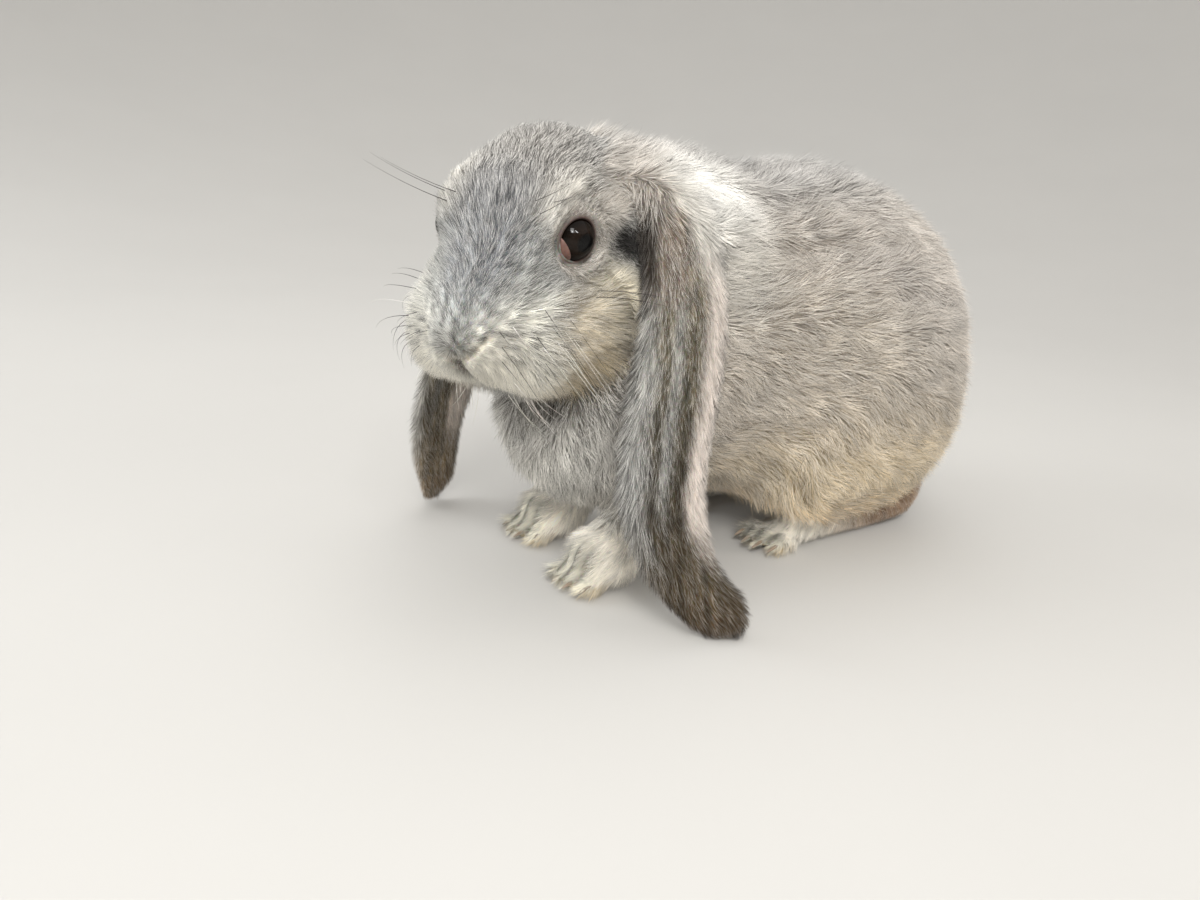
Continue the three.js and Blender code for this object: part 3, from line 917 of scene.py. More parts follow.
# For each of the lids' rings from the inside out: coat depth, colour, shadow, hair, and how moist the front corner is.
LID_COAT = (0, 0, 0, 0.3, 0.6, 0.9, 1.2, 1.4, 1.4)
LID_COLOURS = (
    (60, 44, 40), (50, 37, 34), (62, 48, 44), (104, 88, 82),
    (148, 138, 129), (178, 170, 160), (188, 181, 170), (182, 176, 165), (178, 172, 162),
)
LID_SHADOW = (1, 1, 1, 0.8, 0.5, 0.4, 0.4, 0.4, 0.4)
LID_HAIRY = (False, False, False, True, True, True, True, True, False)
LID_MOIST = (1, 1, 1, 1, 0.9, 0.5, 0, 0, 0)
LASHES = 15


def turns_round(count):
    """Even angles of a full turn."""
    return np.arange(count) * math.tau / count


def eye_axis(side):
    """The way the eye looks, and the ways forward and up across it."""
    sign = SIDES[side]
    out = unit(np.array(EYE_LOOK) * (1, sign, 1) @ HEAD_AXES)
    forward = unit(-HEAD_BACK + out * (HEAD_BACK @ out))
    up = np.cross(forward, out) * -sign
    return out, forward, unit(up * np.sign(up @ HEAD_UP))


def round_an_eye(points, side):
    """How far out along the eye's axis points are, how far from the axis, and the angle round it from forward."""
    out, forward, up = eye_axis(side)
    away = (points - EYES[side]) / MM
    x, y = away @ forward, away @ up
    return away @ out, np.hypot(x, y), np.arctan2(y, x)


def over_an_eye(points, reach):
    """Whether points stand over an eye or its lids, as far as the given reach from the eye's axis."""
    hit = np.zeros(len(points), bool)
    for side in SIDES:
        height, wide, _ = round_an_eye(points, side)
        hit |= (height > -3) & (height < 16) & (wide < reach)
    return hit


def lid_margin(turn):
    """The angle from the way the eye looks to the edge of its lids, for angles round it from forward."""
    return LID_OPEN + LID_OVAL * np.cos(2 * turn) + LID_CORNER * peak(turn, LID_CORNER_WIDTH, LID_CORNER_AT)


def across_eye(side, turn):
    """The ways square to the eye's axis at angles round it from forward."""
    _, forward, up = eye_axis(side)
    return np.cos(turn)[..., None] * forward + np.sin(turn)[..., None] * up


def on_eye(side, turn, angle, radius):
    """Points round an eye's middle, a radius in millimetres away, in metres."""
    turn, angle, radius = np.broadcast_arrays(turn, angle, radius)
    way = np.cos(angle)[..., None] * eye_axis(side)[0] + np.sin(angle)[..., None] * across_eye(side, turn)
    return EYES[side] + way * radius[..., None] * MM


def iris_shades(colour, angles):
    """The eyeball's colour at angles, in degrees, from the way the eye looks."""
    shades = [(PUPIL_SHADE, PUPIL_SHADE, *(c * share for share in IRIS_SHARES)) for c in colour]
    return np.stack([np.interp(angles, IRIS_ANGLES, shade) for shade in shades], 1)


def eyeball(side, colour):
    """A smooth ball that bulges a little in front."""
    degrees = np.concatenate(((0.6,), np.linspace(3, 174, 44), (179.4,)))
    angles = np.radians(degrees)
    dome = EYE_RADIUS + CORNEA_RISE * (1 - ramp(np.degrees(angles), 16, 44))
    loops = on_eye(side, turns_round(LID_TURNS)[None], angles[:, None], dome[:, None])
    mesh = mesh_of("eyeball_" + side, *lofted(loops))
    keep_colour(mesh, "coat", np.repeat(iris_shades(colour, np.degrees(angles)), LID_TURNS, axis=0))
    new_object(mesh.name, mesh, finish("wet eye", wet_eye), "eye", "eye_" + side)


def third_lid(side):
    """The fold that lies over the front corner of the eye, under the lids."""
    reach = lid_margin(HAW_TURNS) + 0.14
    start = np.minimum(np.arcsin(np.minimum(HAW_EDGE / np.cos(HAW_TURNS), 0.999)), reach - 0.02)
    shares = np.linspace(0, 1, 7)
    span = start[:, None] + (reach - start)[:, None] * shares
    rise = HAW_RISE * np.sin(np.pi * np.minimum(shares * 2.2, 1) / 2)
    top = on_eye(side, HAW_TURNS[:, None], span, EYE_RADIUS + 0.02 + rise[None])
    under = on_eye(side, HAW_TURNS[:, None], span, EYE_RADIUS - 0.5)
    loops = np.concatenate((top, under[:, ::-1]), axis=1)
    mesh = mesh_of("third_lid_" + side, *lofted(loops))
    mottle = np.exp(0.12 * waves(loops.reshape(-1, 3) / MM, 2.5, 80))
    keep_colour(mesh, "coat", linear(*HAW_COLOUR) * mottle[:, None])
    new_object(mesh.name, mesh, finish("lid skin", lid_skin), "fur_head")


def fur_level(side, turns):
    """How high, in millimetres, the fur round the eye stands where the lids reach it."""
    skin = bpy.data.objects["skin"].data
    facing = kept(skin, "up") @ eye_axis(side)[0] > 0.2
    height, wide, turn = round_an_eye(kept(skin, "outer"), side)
    ring = np.flatnonzero(facing & (np.abs(wide - LID_REACH) < 2) & (height > -4) & (height < 16))
    gap = np.angle(np.exp(1j * (turns[:, None] - turn[ring][None])))
    weight = np.exp(-((gap / 0.14) ** 2) - ((wide[ring] - LID_REACH)[None] / 0.8) ** 2) + 1e-9
    return (weight * height[ring]).sum(1) / weight.sum(1)


def lid_rows(side, turns):
    """Rings of points over the lids, from behind their edge, over it and out to the fur round the eye."""
    out, across, margin = eye_axis(side)[0], across_eye(side, turns), lid_margin(turns)
    hood = LID_HOOD * np.clip(np.sin(turns), 0, 1)
    rows = [on_eye(side, turns, margin + past, EYE_RADIUS + height + hood * share) for past, height, share in LID_RINGS]
    edge = EYES[side] + (across * LID_REACH + out * (fur_level(side, turns) - 0.45)[:, None]) * MM
    angle = (margin + 0.13)[:, None]
    slope = -np.sin(angle) * out + np.cos(angle) * across
    a, b, c, d = rows[-1], rows[-1] + slope * 1.8 * MM, edge - across * 1.6 * MM, edge
    for t in LID_BEND:
        rows.append(a * (1 - t) ** 3 + 3 * b * t * (1 - t) ** 2 + 3 * c * t * t * (1 - t) + d * t**3)
    rows.append(edge - out * 2.5 * MM)
    return np.array(rows)


def grow_lids(side, rows, turns):
    """The lids' bare skin, with what the hair on it needs to know; says which of its points are hairy."""
    points, polygons = lofted(rows.transpose(1, 0, 2), joined=True)
    mesh = mesh_of("lids_" + side, points, polygons)
    up = normals_of(points, polygons[0])
    sweep = 0.25 + 0.8 * (1 - np.clip(np.cos(turns), 0, 1))
    lie = unit(np.repeat(across_eye(side, turns) + sweep[:, None] * HEAD_BACK, len(rows), axis=0))
    deep = np.tile(LID_COAT, LID_TURNS)
    tear = peak(np.angle(np.exp(1j * (turns - LID_CORNER_AT))), 0.42)
    pink = np.repeat(tear, len(rows)) * np.tile(LID_MOIST, LID_TURNS)
    colour = np.tile([linear(*c) for c in LID_COLOURS], (LID_TURNS, 1))
    colour = mixed(colour, linear(*TEAR_COLOUR), 0.85 * pink)
    keep(mesh, "outer", points + up * (deep * MM)[:, None])
    for name, values in (("up", up), ("lie", lie), ("deep", deep), ("short", 1 - 0.6 * pink)):
        keep(mesh, name, values)
    keep_colour(mesh, "broad", colour)
    keep_colour(mesh, "coat", colour * np.tile(LID_SHADOW, LID_TURNS)[:, None])
    new_object(mesh.name, mesh, finish("lid skin", lid_skin), "fur_head")
    return np.tile(LID_HAIRY, LID_TURNS) & (pink < 0.6)


def grow_lashes(side, crest, turns, rng):
    """A few short dark lashes along the upper lid."""
    shapes = []
    for degrees in np.linspace(24, 158, LASHES):
        turn = math.radians(degrees + rng.uniform(-3, 3))
        root = between(turn, turns, crest)
        across = across_eye(side, np.array(turn))
        way = unit(eye_axis(side)[0] * 0.9 + across * 0.5 + rng.normal(0, 0.08, 3))
        shapes.append(hair_tube(root, way, across * 0.5, rng.uniform(2.6, 4.4) * MM, LASH_RADIUS * MM))
    mesh = mesh_of("lashes_" + side, *gathered(shapes))
    keep_colour(mesh, "coat", linear(*DARK_WHISKER))
    new_object(mesh.name, mesh, finish("whisker", stiff_hair), "fur_head")


# ---------------------------------------------------------------- the coat's tufts

TUFT_SIDES = 3
FLOOR_GAP = 0.25 * MM
UNWRAP_PATCH = 0.003
UNWRAP_CELLS = (3, 2)
UNWRAP_MARGIN = 0.012


def sown_roots(mesh, wanted, density, rng):
    """Roots spread evenly over the wanted triangles of the skin: the triangle and the weights of its corners."""
    _, triangles = mesh_arrays(mesh)
    outer = kept(mesh, "outer")
    corner = outer[triangles]
    area = np.linalg.norm(np.cross(corner[:, 1] - corner[:, 0], corner[:, 2] - corner[:, 0]), axis=1) / 2
    share = area / MM**2 * density[triangles].mean(1) * wanted[triangles[:, 0]]
    total = share.sum()
    count = int(total)
    at = (np.arange(count) + rng.random(count)) / count * total
    chosen = np.minimum(np.searchsorted(np.cumsum(share), at), len(share) - 1)
    a, b = np.sqrt(rng.random(count)), rng.random(count)
    weights = np.stack((1 - a, a * (1 - b), a * b), 1)
    return triangles[chosen], weights


def at_roots(values, corners, weights):
    """Values of the skin's vertices between the corners that a root lies in."""
    if values.ndim == 1:
        return (values[corners] * weights).sum(1)
    return (values[corners] * weights[:, :, None]).sum(1)


def unwrapped(points, normals):
    """A place on a flat map for each root: six sides of the skin, each laid out in its own cell."""
    low, high = points.min(0), points.max(0)
    place = (points - low) / np.maximum(high - low, 1e-6)
    axis = np.abs(normals).argmax(1)
    side = (normals[np.arange(len(normals)), axis] > 0).astype(int)
    flat = np.array(((1, 2), (0, 2), (0, 1)))[axis]
    rows = np.arange(len(points))
    a, b = place[rows, flat[:, 0]], place[rows, flat[:, 1]]
    room = 1 - 2 * UNWRAP_MARGIN
    u = (axis + UNWRAP_MARGIN + a * room) / UNWRAP_CELLS[0]
    v = (side + UNWRAP_MARGIN + b * room) / UNWRAP_CELLS[1]
    return np.stack((u, v), 1)


def turned(vectors, axes, angles):
    """Vectors turned about axes that stand square to them."""
    return vectors * np.cos(angles)[:, None] + np.cross(axes, vectors) * np.sin(angles)[:, None]


def wisps(roots, tips, middles, spacing, pull, rng):
    """Draws the tips of neighbouring tufts together into wisps, and gives each tuft its wisp's number."""
    count = max(int(len(roots) / spacing), 1)
    centres = rng.choice(len(roots), count, replace=False)
    tree = point_tree(roots[centres])
    wisp = np.array([tree.find(p)[1] for p in roots.tolist()])
    share = pull * (0.5 + rng.random(len(roots)))[:, None]
    leader = centres[wisp]
    tips = tips + (tips[leader] - tips) * share
    middles = middles + (middles[leader] - middles) * share * 0.35
    return tips, middles, wisp


def strand_frames(way, normal):
    """Two directions square to each strand."""
    a = unit(np.cross(way, normal))
    return a, unit(np.cross(way, a))


def tuft_mesh(name, root, middle, tip, radius, up, soft):
    """One mesh of closed, three-sided tufts: bent ones taper to a point at both ends, straight ones start on a ring."""
    bent = middle is not None
    ring_at = middle if bent else root
    size = TUFT_SIDES + (2 if bent else 1)
    points, shading = np.empty((len(tip), size, 3)), np.empty((len(tip), size, 3))
    first = size - TUFT_SIDES - 1
    a, b = strand_frames(unit(tip - root), up)
    for corner in range(TUFT_SIDES):
        angle = math.tau * (corner + 0.25) / TUFT_SIDES
        out = a * math.cos(angle) + b * math.sin(angle)
        points[:, first + corner] = ring_at + out * radius[:, None]
        shading[:, first + corner] = unit(up * soft + out * (1 - soft))
    points[:, -1], shading[:, -1] = tip, up
    if bent:
        points[:, 0], shading[:, 0] = root, up
    points[:, :, 2] = np.maximum(points[:, :, 2], FLOOR_GAP)
    start = (np.arange(len(tip)) * size)[:, None] + first
    turns = [(k, (k + 1) % TUFT_SIDES) for k in range(TUFT_SIDES)]
    faces = [start + np.array((k, after, TUFT_SIDES)) for k, after in turns]
    faces += [start + np.array((after, k, -1)) for k, after in turns] if bent else [start + np.array((2, 1, 0))]
    mesh = mesh_of(name, points.reshape(-1, 3), [np.concatenate(faces)])
    mesh.normals_split_custom_set_from_vertices(shading.reshape(-1, 3))
    return mesh, size


def tuft_map(mesh, places, size):
    """The OFBake map: each tuft is a small patch at its root's place on the unwrapped skin."""
    local = np.zeros((size, 2))
    first = size - TUFT_SIDES - 1
    for corner in range(TUFT_SIDES):
        local[first + corner] = (corner / 2 - 0.5, 0 if first else -0.5)
    local[0, 1] = -0.5
    local[-1] = (0, 0.5)
    uv = (places[:, None, :] + local[None] * UNWRAP_PATCH).reshape(-1, 2)
    layer = mesh.uv_layers.new(name="OFBake")
    layer.uv.foreach_set("vector", uv[read(mesh.loops, "vertex_index")].astype(np.float32).ravel())


def solid_trees(kinds):
    """Search trees and boxes of the solids that the hair stays out of, chosen by how their names start."""
    found = []
    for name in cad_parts:
        if name.startswith(kinds):
            points, faces = welded(name)
            found.append((BVHTree.FromPolygons(points.tolist(), faces.tolist()), points.min(0), points.max(0)))
    return found


def is_inside(tree, point):
    """Whether a point is inside a closed solid: a line out of it meets the surface an odd number of times."""
    way, met = Vector((0.31, 0.17, 0.935)), 0
    start = Vector(point)
    while (spot := tree.ray_cast(start, way)[0]) is not None:
        met += 1
        start = spot + way * 1e-6
    return met % 2 == 1


def clear_of(points, blockers, margin):
    """Whether each point is outside the given solids by a margin."""
    free = np.ones(len(points), bool)
    for tree, low, high in blockers:
        near = np.flatnonzero(((points > low - margin) & (points < high + margin)).all(1))
        for k in near.tolist():
            point = points[k].tolist()
            free[k] = free[k] and tree.find_nearest(point)[3] > margin and not is_inside(tree, point)
    return free


# ---------------------------------------------------------------- the coat on its skin


class Kind(typing.NamedTuple):
    """A kind of coat. Its tufts' length, width and cover are shares of the usual ones, wisp is how many tufts make
    a wisp, pull is how far they are drawn into it, and fluff is the share of tufts that stand out."""

    run: float
    thick: float
    cover: float
    stray: float
    wisp: float
    pull: float
    swirl: float
    fluff: float
    hair: str = ""


LID = Kind(1.15, 1.25, 0.85, 0.35, 5, 0.25, 0.2, 0.3, "lids")
SHORT = Kind(1.1, 0.85, 1.0, 0.28, 6, 0.2, 0.16, 0.06)
CROWN = Kind(1.1, 0.8, 0.88, 0.3, 7, 0.2, 0.22, 0.12)
LONG = Kind(1.15, 0.68, 0.92, 0.4, 9, 0.34, 0.32, 0.35)
FOOT = Kind(1.5, 0.75, 0.65, 0.22, 8, 0.35, 0.1, 0.25)
SLEEK = Kind(1.45, 1.05, 0.66, 0.18, 6, 0.2, 0.1, 0.03)

# A tuft's length and half width, in millimetres: on the thinnest coat, and for each millimetre of its depth.
USUAL_RUN = (2.0, 0.82)
USUAL_THICK = (0.10, 0.013)
MOST_TUFTS = 6.5
BELLY_THINNED = 0.7
SWIRLS = ((1, 26, 70), (0.5, 9, 71))

# Where the crown, the flank and the rump begin, in millimetres on the head and on the body.
CROWN_FROM = 8
FLANK_FROM = 0
RUMP_FROM = 85
ROOT_DEPTH = 0.4 * MM
SOLID_GAP = 0.2 * MM


def tuft_sizes(mesh, coat, kind):
    """For each point of the skin: its tufts' length and half width, in millimetres, and how many a square one holds."""
    deep, up, outer = (kept(mesh, name) for name in ("deep", "up", "outer"))
    run = (USUAL_RUN[0] + USUAL_RUN[1] * deep) * kind.run * kept(mesh, "short")
    thick = (USUAL_THICK[0] + USUAL_THICK[1] * deep) * kind.thick
    density = np.minimum(coat.cover * kind.cover / (run * 2 * thick), MOST_TUFTS)
    below = ramp(-up[:, 2], 0.55, 0.85) * ramp(-outer[:, 2], -0.035, -0.02)
    return run, thick, density * (1 - BELLY_THINNED * below)


def grow_coat(context, name, slot, wanted, seed, bent, kind, base="skin"):
    """One piece of the coat on the wanted part of the skin, in bent or in straight tufts."""
    coat = context.scene.rabbit_coat
    mesh = bpy.data.objects[base].data
    rng = np.random.default_rng(SEED + seed)
    run, thick, density = tuft_sizes(mesh, coat, kind)
    corners, weights = sown_roots(mesh, wanted, density, rng)

    def here(values):
        return at_roots(values, corners, weights)

    inner, outer, up = here(mesh_arrays(mesh)[0]), here(kept(mesh, "outer")), unit(here(kept(mesh, "up")))
    deep, run, thick = (here(values) * MM for values in (kept(mesh, "deep"), run, thick))
    count = len(inner)
    lie = here(kept(mesh, "lie"))
    lie = unit(lie - (lie * up).sum(1)[:, None] * up)
    lie = turned(lie, up, rippled(outer / MM, SWIRLS) * kind.swirl + rng.normal(0, kind.stray, count))
    run = run * rng.uniform(0.65, 1.2, count)
    thick = thick * rng.uniform(0.75, 1.2, count)
    fluff = rng.random(count) < kind.fluff
    lift = rng.uniform(-0.12, 0.1, count) + fluff * rng.uniform(0.05, 0.45, count)
    thick = thick * np.where(fluff, 0.7, 1)
    tip = outer + lie * run[:, None] + up * (lift * deep)[:, None]
    middle = inner * 0.25 + (outer + lie * (run * 0.35)[:, None]) * 0.75
    tip, middle, wisp = wisps(inner, tip, middle, kind.wisp, kind.pull, rng)
    reach = LID_REACH - 2.4 if base == "skin" else EYE_RADIUS - 0.9
    free = ~over_an_eye(inner, reach) & ~over_an_eye(tip, EYE_RADIUS - 0.9)
    stops = solid_trees(("eye",) if slot == "fur_ear" else ("eye", "ear"))
    free &= clear_of(tip, stops, SOLID_GAP) & clear_of(middle, stops, SOLID_GAP)
    root = inner - up * ROOT_DEPTH
    root, middle, tip, up, thick, wisp, inner = (a[free] for a in (root, middle, tip, up, thick, wisp, inner))
    made, size = tuft_mesh(name, root, middle if bent else None, tip, thick, up, coat.softness)
    tuft_map(made, unwrapped(inner, up), size)
    colour = here(kept(mesh, "broad"))[free, :3]
    if base == "skin":
        near = corners[np.arange(len(corners)), weights.argmax(1)][free]
        region = np.round(kept(mesh, "region")[near]).astype(int)
        colour *= fine_marks(outer[free], region)[:, None]
    strand = np.empty((len(root), size, 3))
    strand[:, :, 0] = (0, 0.5, 0.5, 0.5, 1.0) if bent else (0, 0, 0, 1.0)
    strand[:, :, 1] = rng.random(len(root))[:, None]
    strand[:, :, 2] = rng.random(count)[wisp][:, None]
    keep(made, "strand", strand.reshape(-1, 3))
    keep_colour(made, "coat", np.repeat(colour, size, axis=0))
    look = kind.hair or slot
    new_object(name, made, finish(look.replace("fur", "hair"), hair, *HAIR_LOOKS[look]), slot)
    print(name, len(root), "tufts,", len(made.polygons), "triangles")


def skin_places():
    """The region, the row millimetres and the head millimetres of the skin's points."""
    mesh = bpy.data.objects["skin"].data
    outer = kept(mesh, "outer")
    return np.round(kept(mesh, "region")).astype(int), outer / MM, to_head(outer)


def sides_of(mm):
    """Which of the points lie on each side of the body."""
    left = mm[:, 1] < 0
    return {"left": left, "right": ~left}


# ---------------------------------------------------------------- finishes

# The banded hair's inputs with their defaults, and their values for each part of the coat.
HAIR_INPUTS = {"Root shade": 0.5, "Pale tips": 0.4, "Dark tips": 0.25, "Mottle": 0.2, "Mottle scale": 60.0}
HAIR_LOOKS = {
    "lids": (0.55, 0.5, 0.22, 0.5, 260.0),
    "fur_head": (0.75, 0.5, 0.34, 0.36, 160.0),
    "fur_neck": (0.75, 0.35, 0.14, 0.36, 100.0),
    "fur_trunk": (0.65, 0.4, 0.3, 0.44, 90.0),
    "fur_ear": (0.8, 0.45, 0.36, 0.4, 160.0),
    "fur_paw": (0.6, 0.35, 0.12, 0.3, 120.0),
    "fur_tail": (0.85, 0.2, 0.06, 0.14, 60.0),
}
PALE_TIP = (0.82, 0.79, 0.74, 1)
DARK_TIP = (0.42, 0.41, 0.40, 1)
SKIN_SHADE = (0.8, 0.8, 0.8, 1)
SKIN_GRAIN = (900, 900, 900)
HORN_GRAIN = (120, 900, 900)
HORN_DARK = (74, 60, 48)
HORN_PALE = (150, 128, 104)

# The iris: the angles from the way the eye looks, and at each the pupil's shade or a share of the eye's colour.
IRIS_ANGLES = (0, 21, 25, 36, 46, 54, 180)
IRIS_SHARES = (0.8, 1, 0.7, 0.35, 0.35)
PUPIL_SHADE = 0.004


def feed(tree, made, inputs):
    """Inputs of a node, by name or number, fed from sockets or set to values."""
    for key, value in inputs.items():
        if isinstance(value, bpy.types.NodeSocket):
            tree.links.new(value, made.inputs[key])
        else:
            made.inputs[key].default_value = value


def node(tree, kind, inputs=None, **settings):
    """A new node with its settings and its inputs."""
    made = tree.nodes.new(kind)
    for key, value in settings.items():
        setattr(made, key, value)
    feed(tree, made, inputs or {})
    return made


def attribute(tree, name, output):
    """An attribute that keep() stored, as a colour or a vector."""
    return node(tree, "ShaderNodeAttribute", attribute_name=name).outputs[output]


def object_place(tree, scale=None):
    """The place on the object, stretched by a scale for each axis if one is given."""
    place = node(tree, "ShaderNodeTexCoord").outputs["Object"]
    if scale is None:
        return place
    return node(tree, "ShaderNodeMapping", {"Vector": place, "Scale": scale}).outputs[0]


def noise(tree, place, scale, detail, roughness=0.5):
    """A noise texture's outputs: its value and its colour."""
    inputs = {"Vector": place, "Scale": scale, "Detail": detail, "Roughness": roughness}
    return node(tree, "ShaderNodeTexNoise", inputs).outputs


def maths(tree, operation, first, second):
    """A Math node's output."""
    return node(tree, "ShaderNodeMath", {0: first, 1: second}, operation=operation).outputs[0]


def ranged(tree, value, from_low, from_high, to_low, to_high):
    """A value carried from one range to another, and held at its ends."""
    inputs = {0: value, 1: from_low, 2: from_high, 3: to_low, 4: to_high}
    return node(tree, "ShaderNodeMapRange", inputs).outputs[0]


def grey(tree, value):
    """A value as a grey colour."""
    return node(tree, "ShaderNodeCombineColor", {0: value, 1: value, 2: value}).outputs[0]


def blended(tree, blend, factor, first, second):
    """A Mix node's colour."""
    inputs = {0: factor, 6: first, 7: second}
    return node(tree, "ShaderNodeMix", inputs, data_type="RGBA", blend_type=blend).outputs[2]


def bump(tree, height, strength, distance):
    """A normal that follows a height; the distance is in metres."""
    return node(tree, "ShaderNodeBump", {"Height": height, "Strength": strength, "Distance": distance}).outputs[0]


def finish(name, build, *look):
    """The named material, built when it is first asked for: build gives the inputs of its Principled shader."""
    if name not in bpy.data.materials:
        material = bpy.data.materials.new(name)
        material.use_nodes = True
        tree = material.node_tree
        feed(tree, tree.nodes["Principled BSDF"], build(tree, *look))
    return bpy.data.materials[name]


def banded_hair_group():
    """Hair that is darker at its root, partly its undercoat and partly painted shade deep in the coat, ticked with dark
    and pale tips, and mottled over the body.
    """
    name = "Banded hair"
    if name in bpy.data.node_groups:
        return bpy.data.node_groups[name]
    group = bpy.data.node_groups.new(name, "ShaderNodeTree")
    for label, value in HAIR_INPUTS.items():
        made = group.interface.new_socket(label, in_out="INPUT", socket_type="NodeSocketFloat")
        made.default_value = value
    group.interface.new_socket("Color", in_out="OUTPUT", socket_type="NodeSocketColor")
    group.interface.new_socket("Roughness", in_out="OUTPUT", socket_type="NodeSocketFloat")
    given = node(group, "NodeGroupInput").outputs
    math_of = functools.partial(maths, group)
    coat = attribute(group, "coat", "Color")
    strand = attribute(group, "strand", "Vector")
    along, chance, wisp = node(group, "ShaderNodeSeparateXYZ", {0: strand}).outputs
    # The root's darker colour: partly the undercoat, partly painted shade deep in the coat.
    shade = ranged(group, along, 0.0, 0.8, given["Root shade"], 1.0)
    colour = blended(group, "MULTIPLY", 1.0, coat, grey(group, shade))
    tip = ranged(group, along, 0.15, 0.6, 0.0, 1.0)
    tone = node(group, "ShaderNodeRGBToBW", {0: coat}).outputs[0]
    pale_here = ranged(group, tone, 0.015, 0.12, 0.05, 1.0)
    dark_here = ranged(group, tone, 0.25, 0.6, 1.0, 0.25)
    pale = math_of("MULTIPLY", tip, math_of("GREATER_THAN", chance, 0.5))
    pale = math_of("MULTIPLY", math_of("MULTIPLY", pale, pale_here), given["Pale tips"])
    colour = blended(group, "MIX", pale, colour, PALE_TIP)
    some = math_of("MULTIPLY", given["Dark tips"], dark_here)
    dark = math_of("MULTIPLY", tip, math_of("LESS_THAN", chance, some))
    colour = blended(group, "MULTIPLY", dark, colour, DARK_TIP)
    cloud = noise(group, object_place(group), given["Mottle scale"], 2.5, 0.6)[0]
    both = math_of("ADD", math_of("SUBTRACT", cloud, 0.5), math_of("SUBTRACT", wisp, 0.5))
    light = math_of("ADD", 1.0, math_of("MULTIPLY", both, given["Mottle"]))
    colour = blended(group, "MULTIPLY", 1.0, colour, grey(group, light))
    rough = math_of("SUBTRACT", 0.86, math_of("MULTIPLY", along, 0.2))
    node(group, "NodeGroupOutput", {"Color": colour, "Roughness": rough})
    return group


def hair(tree, *look):
    """The banded hair of one part of the coat."""
    banded = node(tree, "ShaderNodeGroup", node_tree=banded_hair_group())
    feed(tree, banded, dict(zip(HAIR_INPUTS, look)))
    return {
        "Base Color": banded.outputs["Color"], "Roughness": banded.outputs["Roughness"],
        "Specular IOR Level": 0.25, "Sheen Weight": 0.12, "Sheen Roughness": 0.5,
    }


def bare_skin(tree):
    """Skin under the coat: the coat's own colour in shadow, with a fine grain."""
    grain = noise(tree, object_place(tree, SKIN_GRAIN), 1.0, 3.0, 0.6)
    colour = blended(tree, "MULTIPLY", 1.0, attribute(tree, "coat", "Color"), SKIN_SHADE)
    return {
        "Base Color": blended(tree, "SOFT_LIGHT", 0.6, colour, grain["Color"]),
        "Normal": bump(tree, grain[0], 0.5, 0.0006), "Roughness": 0.9, "Specular IOR Level": 0.2,
    }


def wet_eye(tree):
    """Wet gloss over a dark brown iris."""
    threads = noise(tree, object_place(tree), 900.0, 3.0)
    return {
        "Base Color": blended(tree, "OVERLAY", 0.5, attribute(tree, "coat", "Color"), threads[0]),
        "Roughness": 0.3, "Specular IOR Level": 0.0, "Coat Weight": 0.3, "Coat Roughness": 0.02,
    }


def lid_skin(tree):
    """Moist bare skin of the lids."""
    pores = noise(tree, object_place(tree), 1600.0, 2.0)
    return {
        "Base Color": blended(tree, "SOFT_LIGHT", 0.4, attribute(tree, "coat", "Color"), pores["Color"]),
        "Normal": bump(tree, pores[0], 0.25, 0.0002), "Roughness": 0.42, "Specular IOR Level": 0.4,
    }


def stiff_hair(tree):
    """Smooth stiff hair of the whiskers and lashes."""
    shift = noise(tree, object_place(tree), 80.0, 2.0)
    coat = attribute(tree, "coat", "Color")
    return {"Base Color": blended(tree, "SOFT_LIGHT", 0.5, coat, shift["Color"]), "Roughness": 0.4}


def horn(tree):
    """Brown horn with pale streaks along the claw."""
    streaks = noise(tree, object_place(tree, HORN_GRAIN), 1.0, 3.0)
    shades = node(tree, "ShaderNodeValToRGB", {0: streaks[0]})
    for end, colour in zip(shades.color_ramp.elements, (HORN_DARK, HORN_PALE)):
        end.color = (*linear(*colour), 1)
    return {"Base Color": shades.outputs[0], "Roughness": 0.45}


def matt_floor(tree, colour):
    """A plain floor whose tone shifts a little from place to place."""
    grain = noise(tree, object_place(tree), 6.0, 3.0)
    tone = grey(tree, ranged(tree, grain[0], 0.0, 1.0, 0.975, 1.025))
    return {"Base Color": blended(tree, "MULTIPLY", 1.0, (*colour, 1), tone), "Roughness": 0.75}


# ---------------------------------------------------------------- settings


class RabbitCoat(bpy.types.PropertyGroup):
    """The depth and look of the coat."""

    body_depth: bpy.props.FloatProperty(
        name="Body coat", description="Thickness of the coat on the trunk, in millimetres", default=10.0
    )
    head_depth: bpy.props.FloatProperty(
        name="Head coat", description="Thickness of the coat on the crown, in millimetres", default=4.6
    )
    foot_depth: bpy.props.FloatProperty(
        name="Foot coat", description="Thickness of the coat on the feet, in millimetres", default=3.2
    )
    ear_depth: bpy.props.FloatProperty(
        name="Ear coat", description="Thickness of the coat on the ears, in millimetres", default=1.5
    )
    cover: bpy.props.FloatProperty(
        name="Cover", description="How many times over the tufts cover the skin", default=4.6
    )
    softness: bpy.props.FloatProperty(
        name="Softness", description="How far the tufts' shading follows the skin under them",
        default=0.62, min=0, max=1, subtype="FACTOR",
    )


class RabbitFace(bpy.types.PropertyGroup):
    """The eyes and whiskers."""

    eye_colour: bpy.props.FloatVectorProperty(
        name="Eye", description="Colour of the iris", default=(0.010, 0.006, 0.004), subtype="COLOR", size=3
    )
    whisker_length: bpy.props.FloatProperty(
        name="Whiskers", description="Length of the longest whiskers, in millimetres", default=62.0
    )


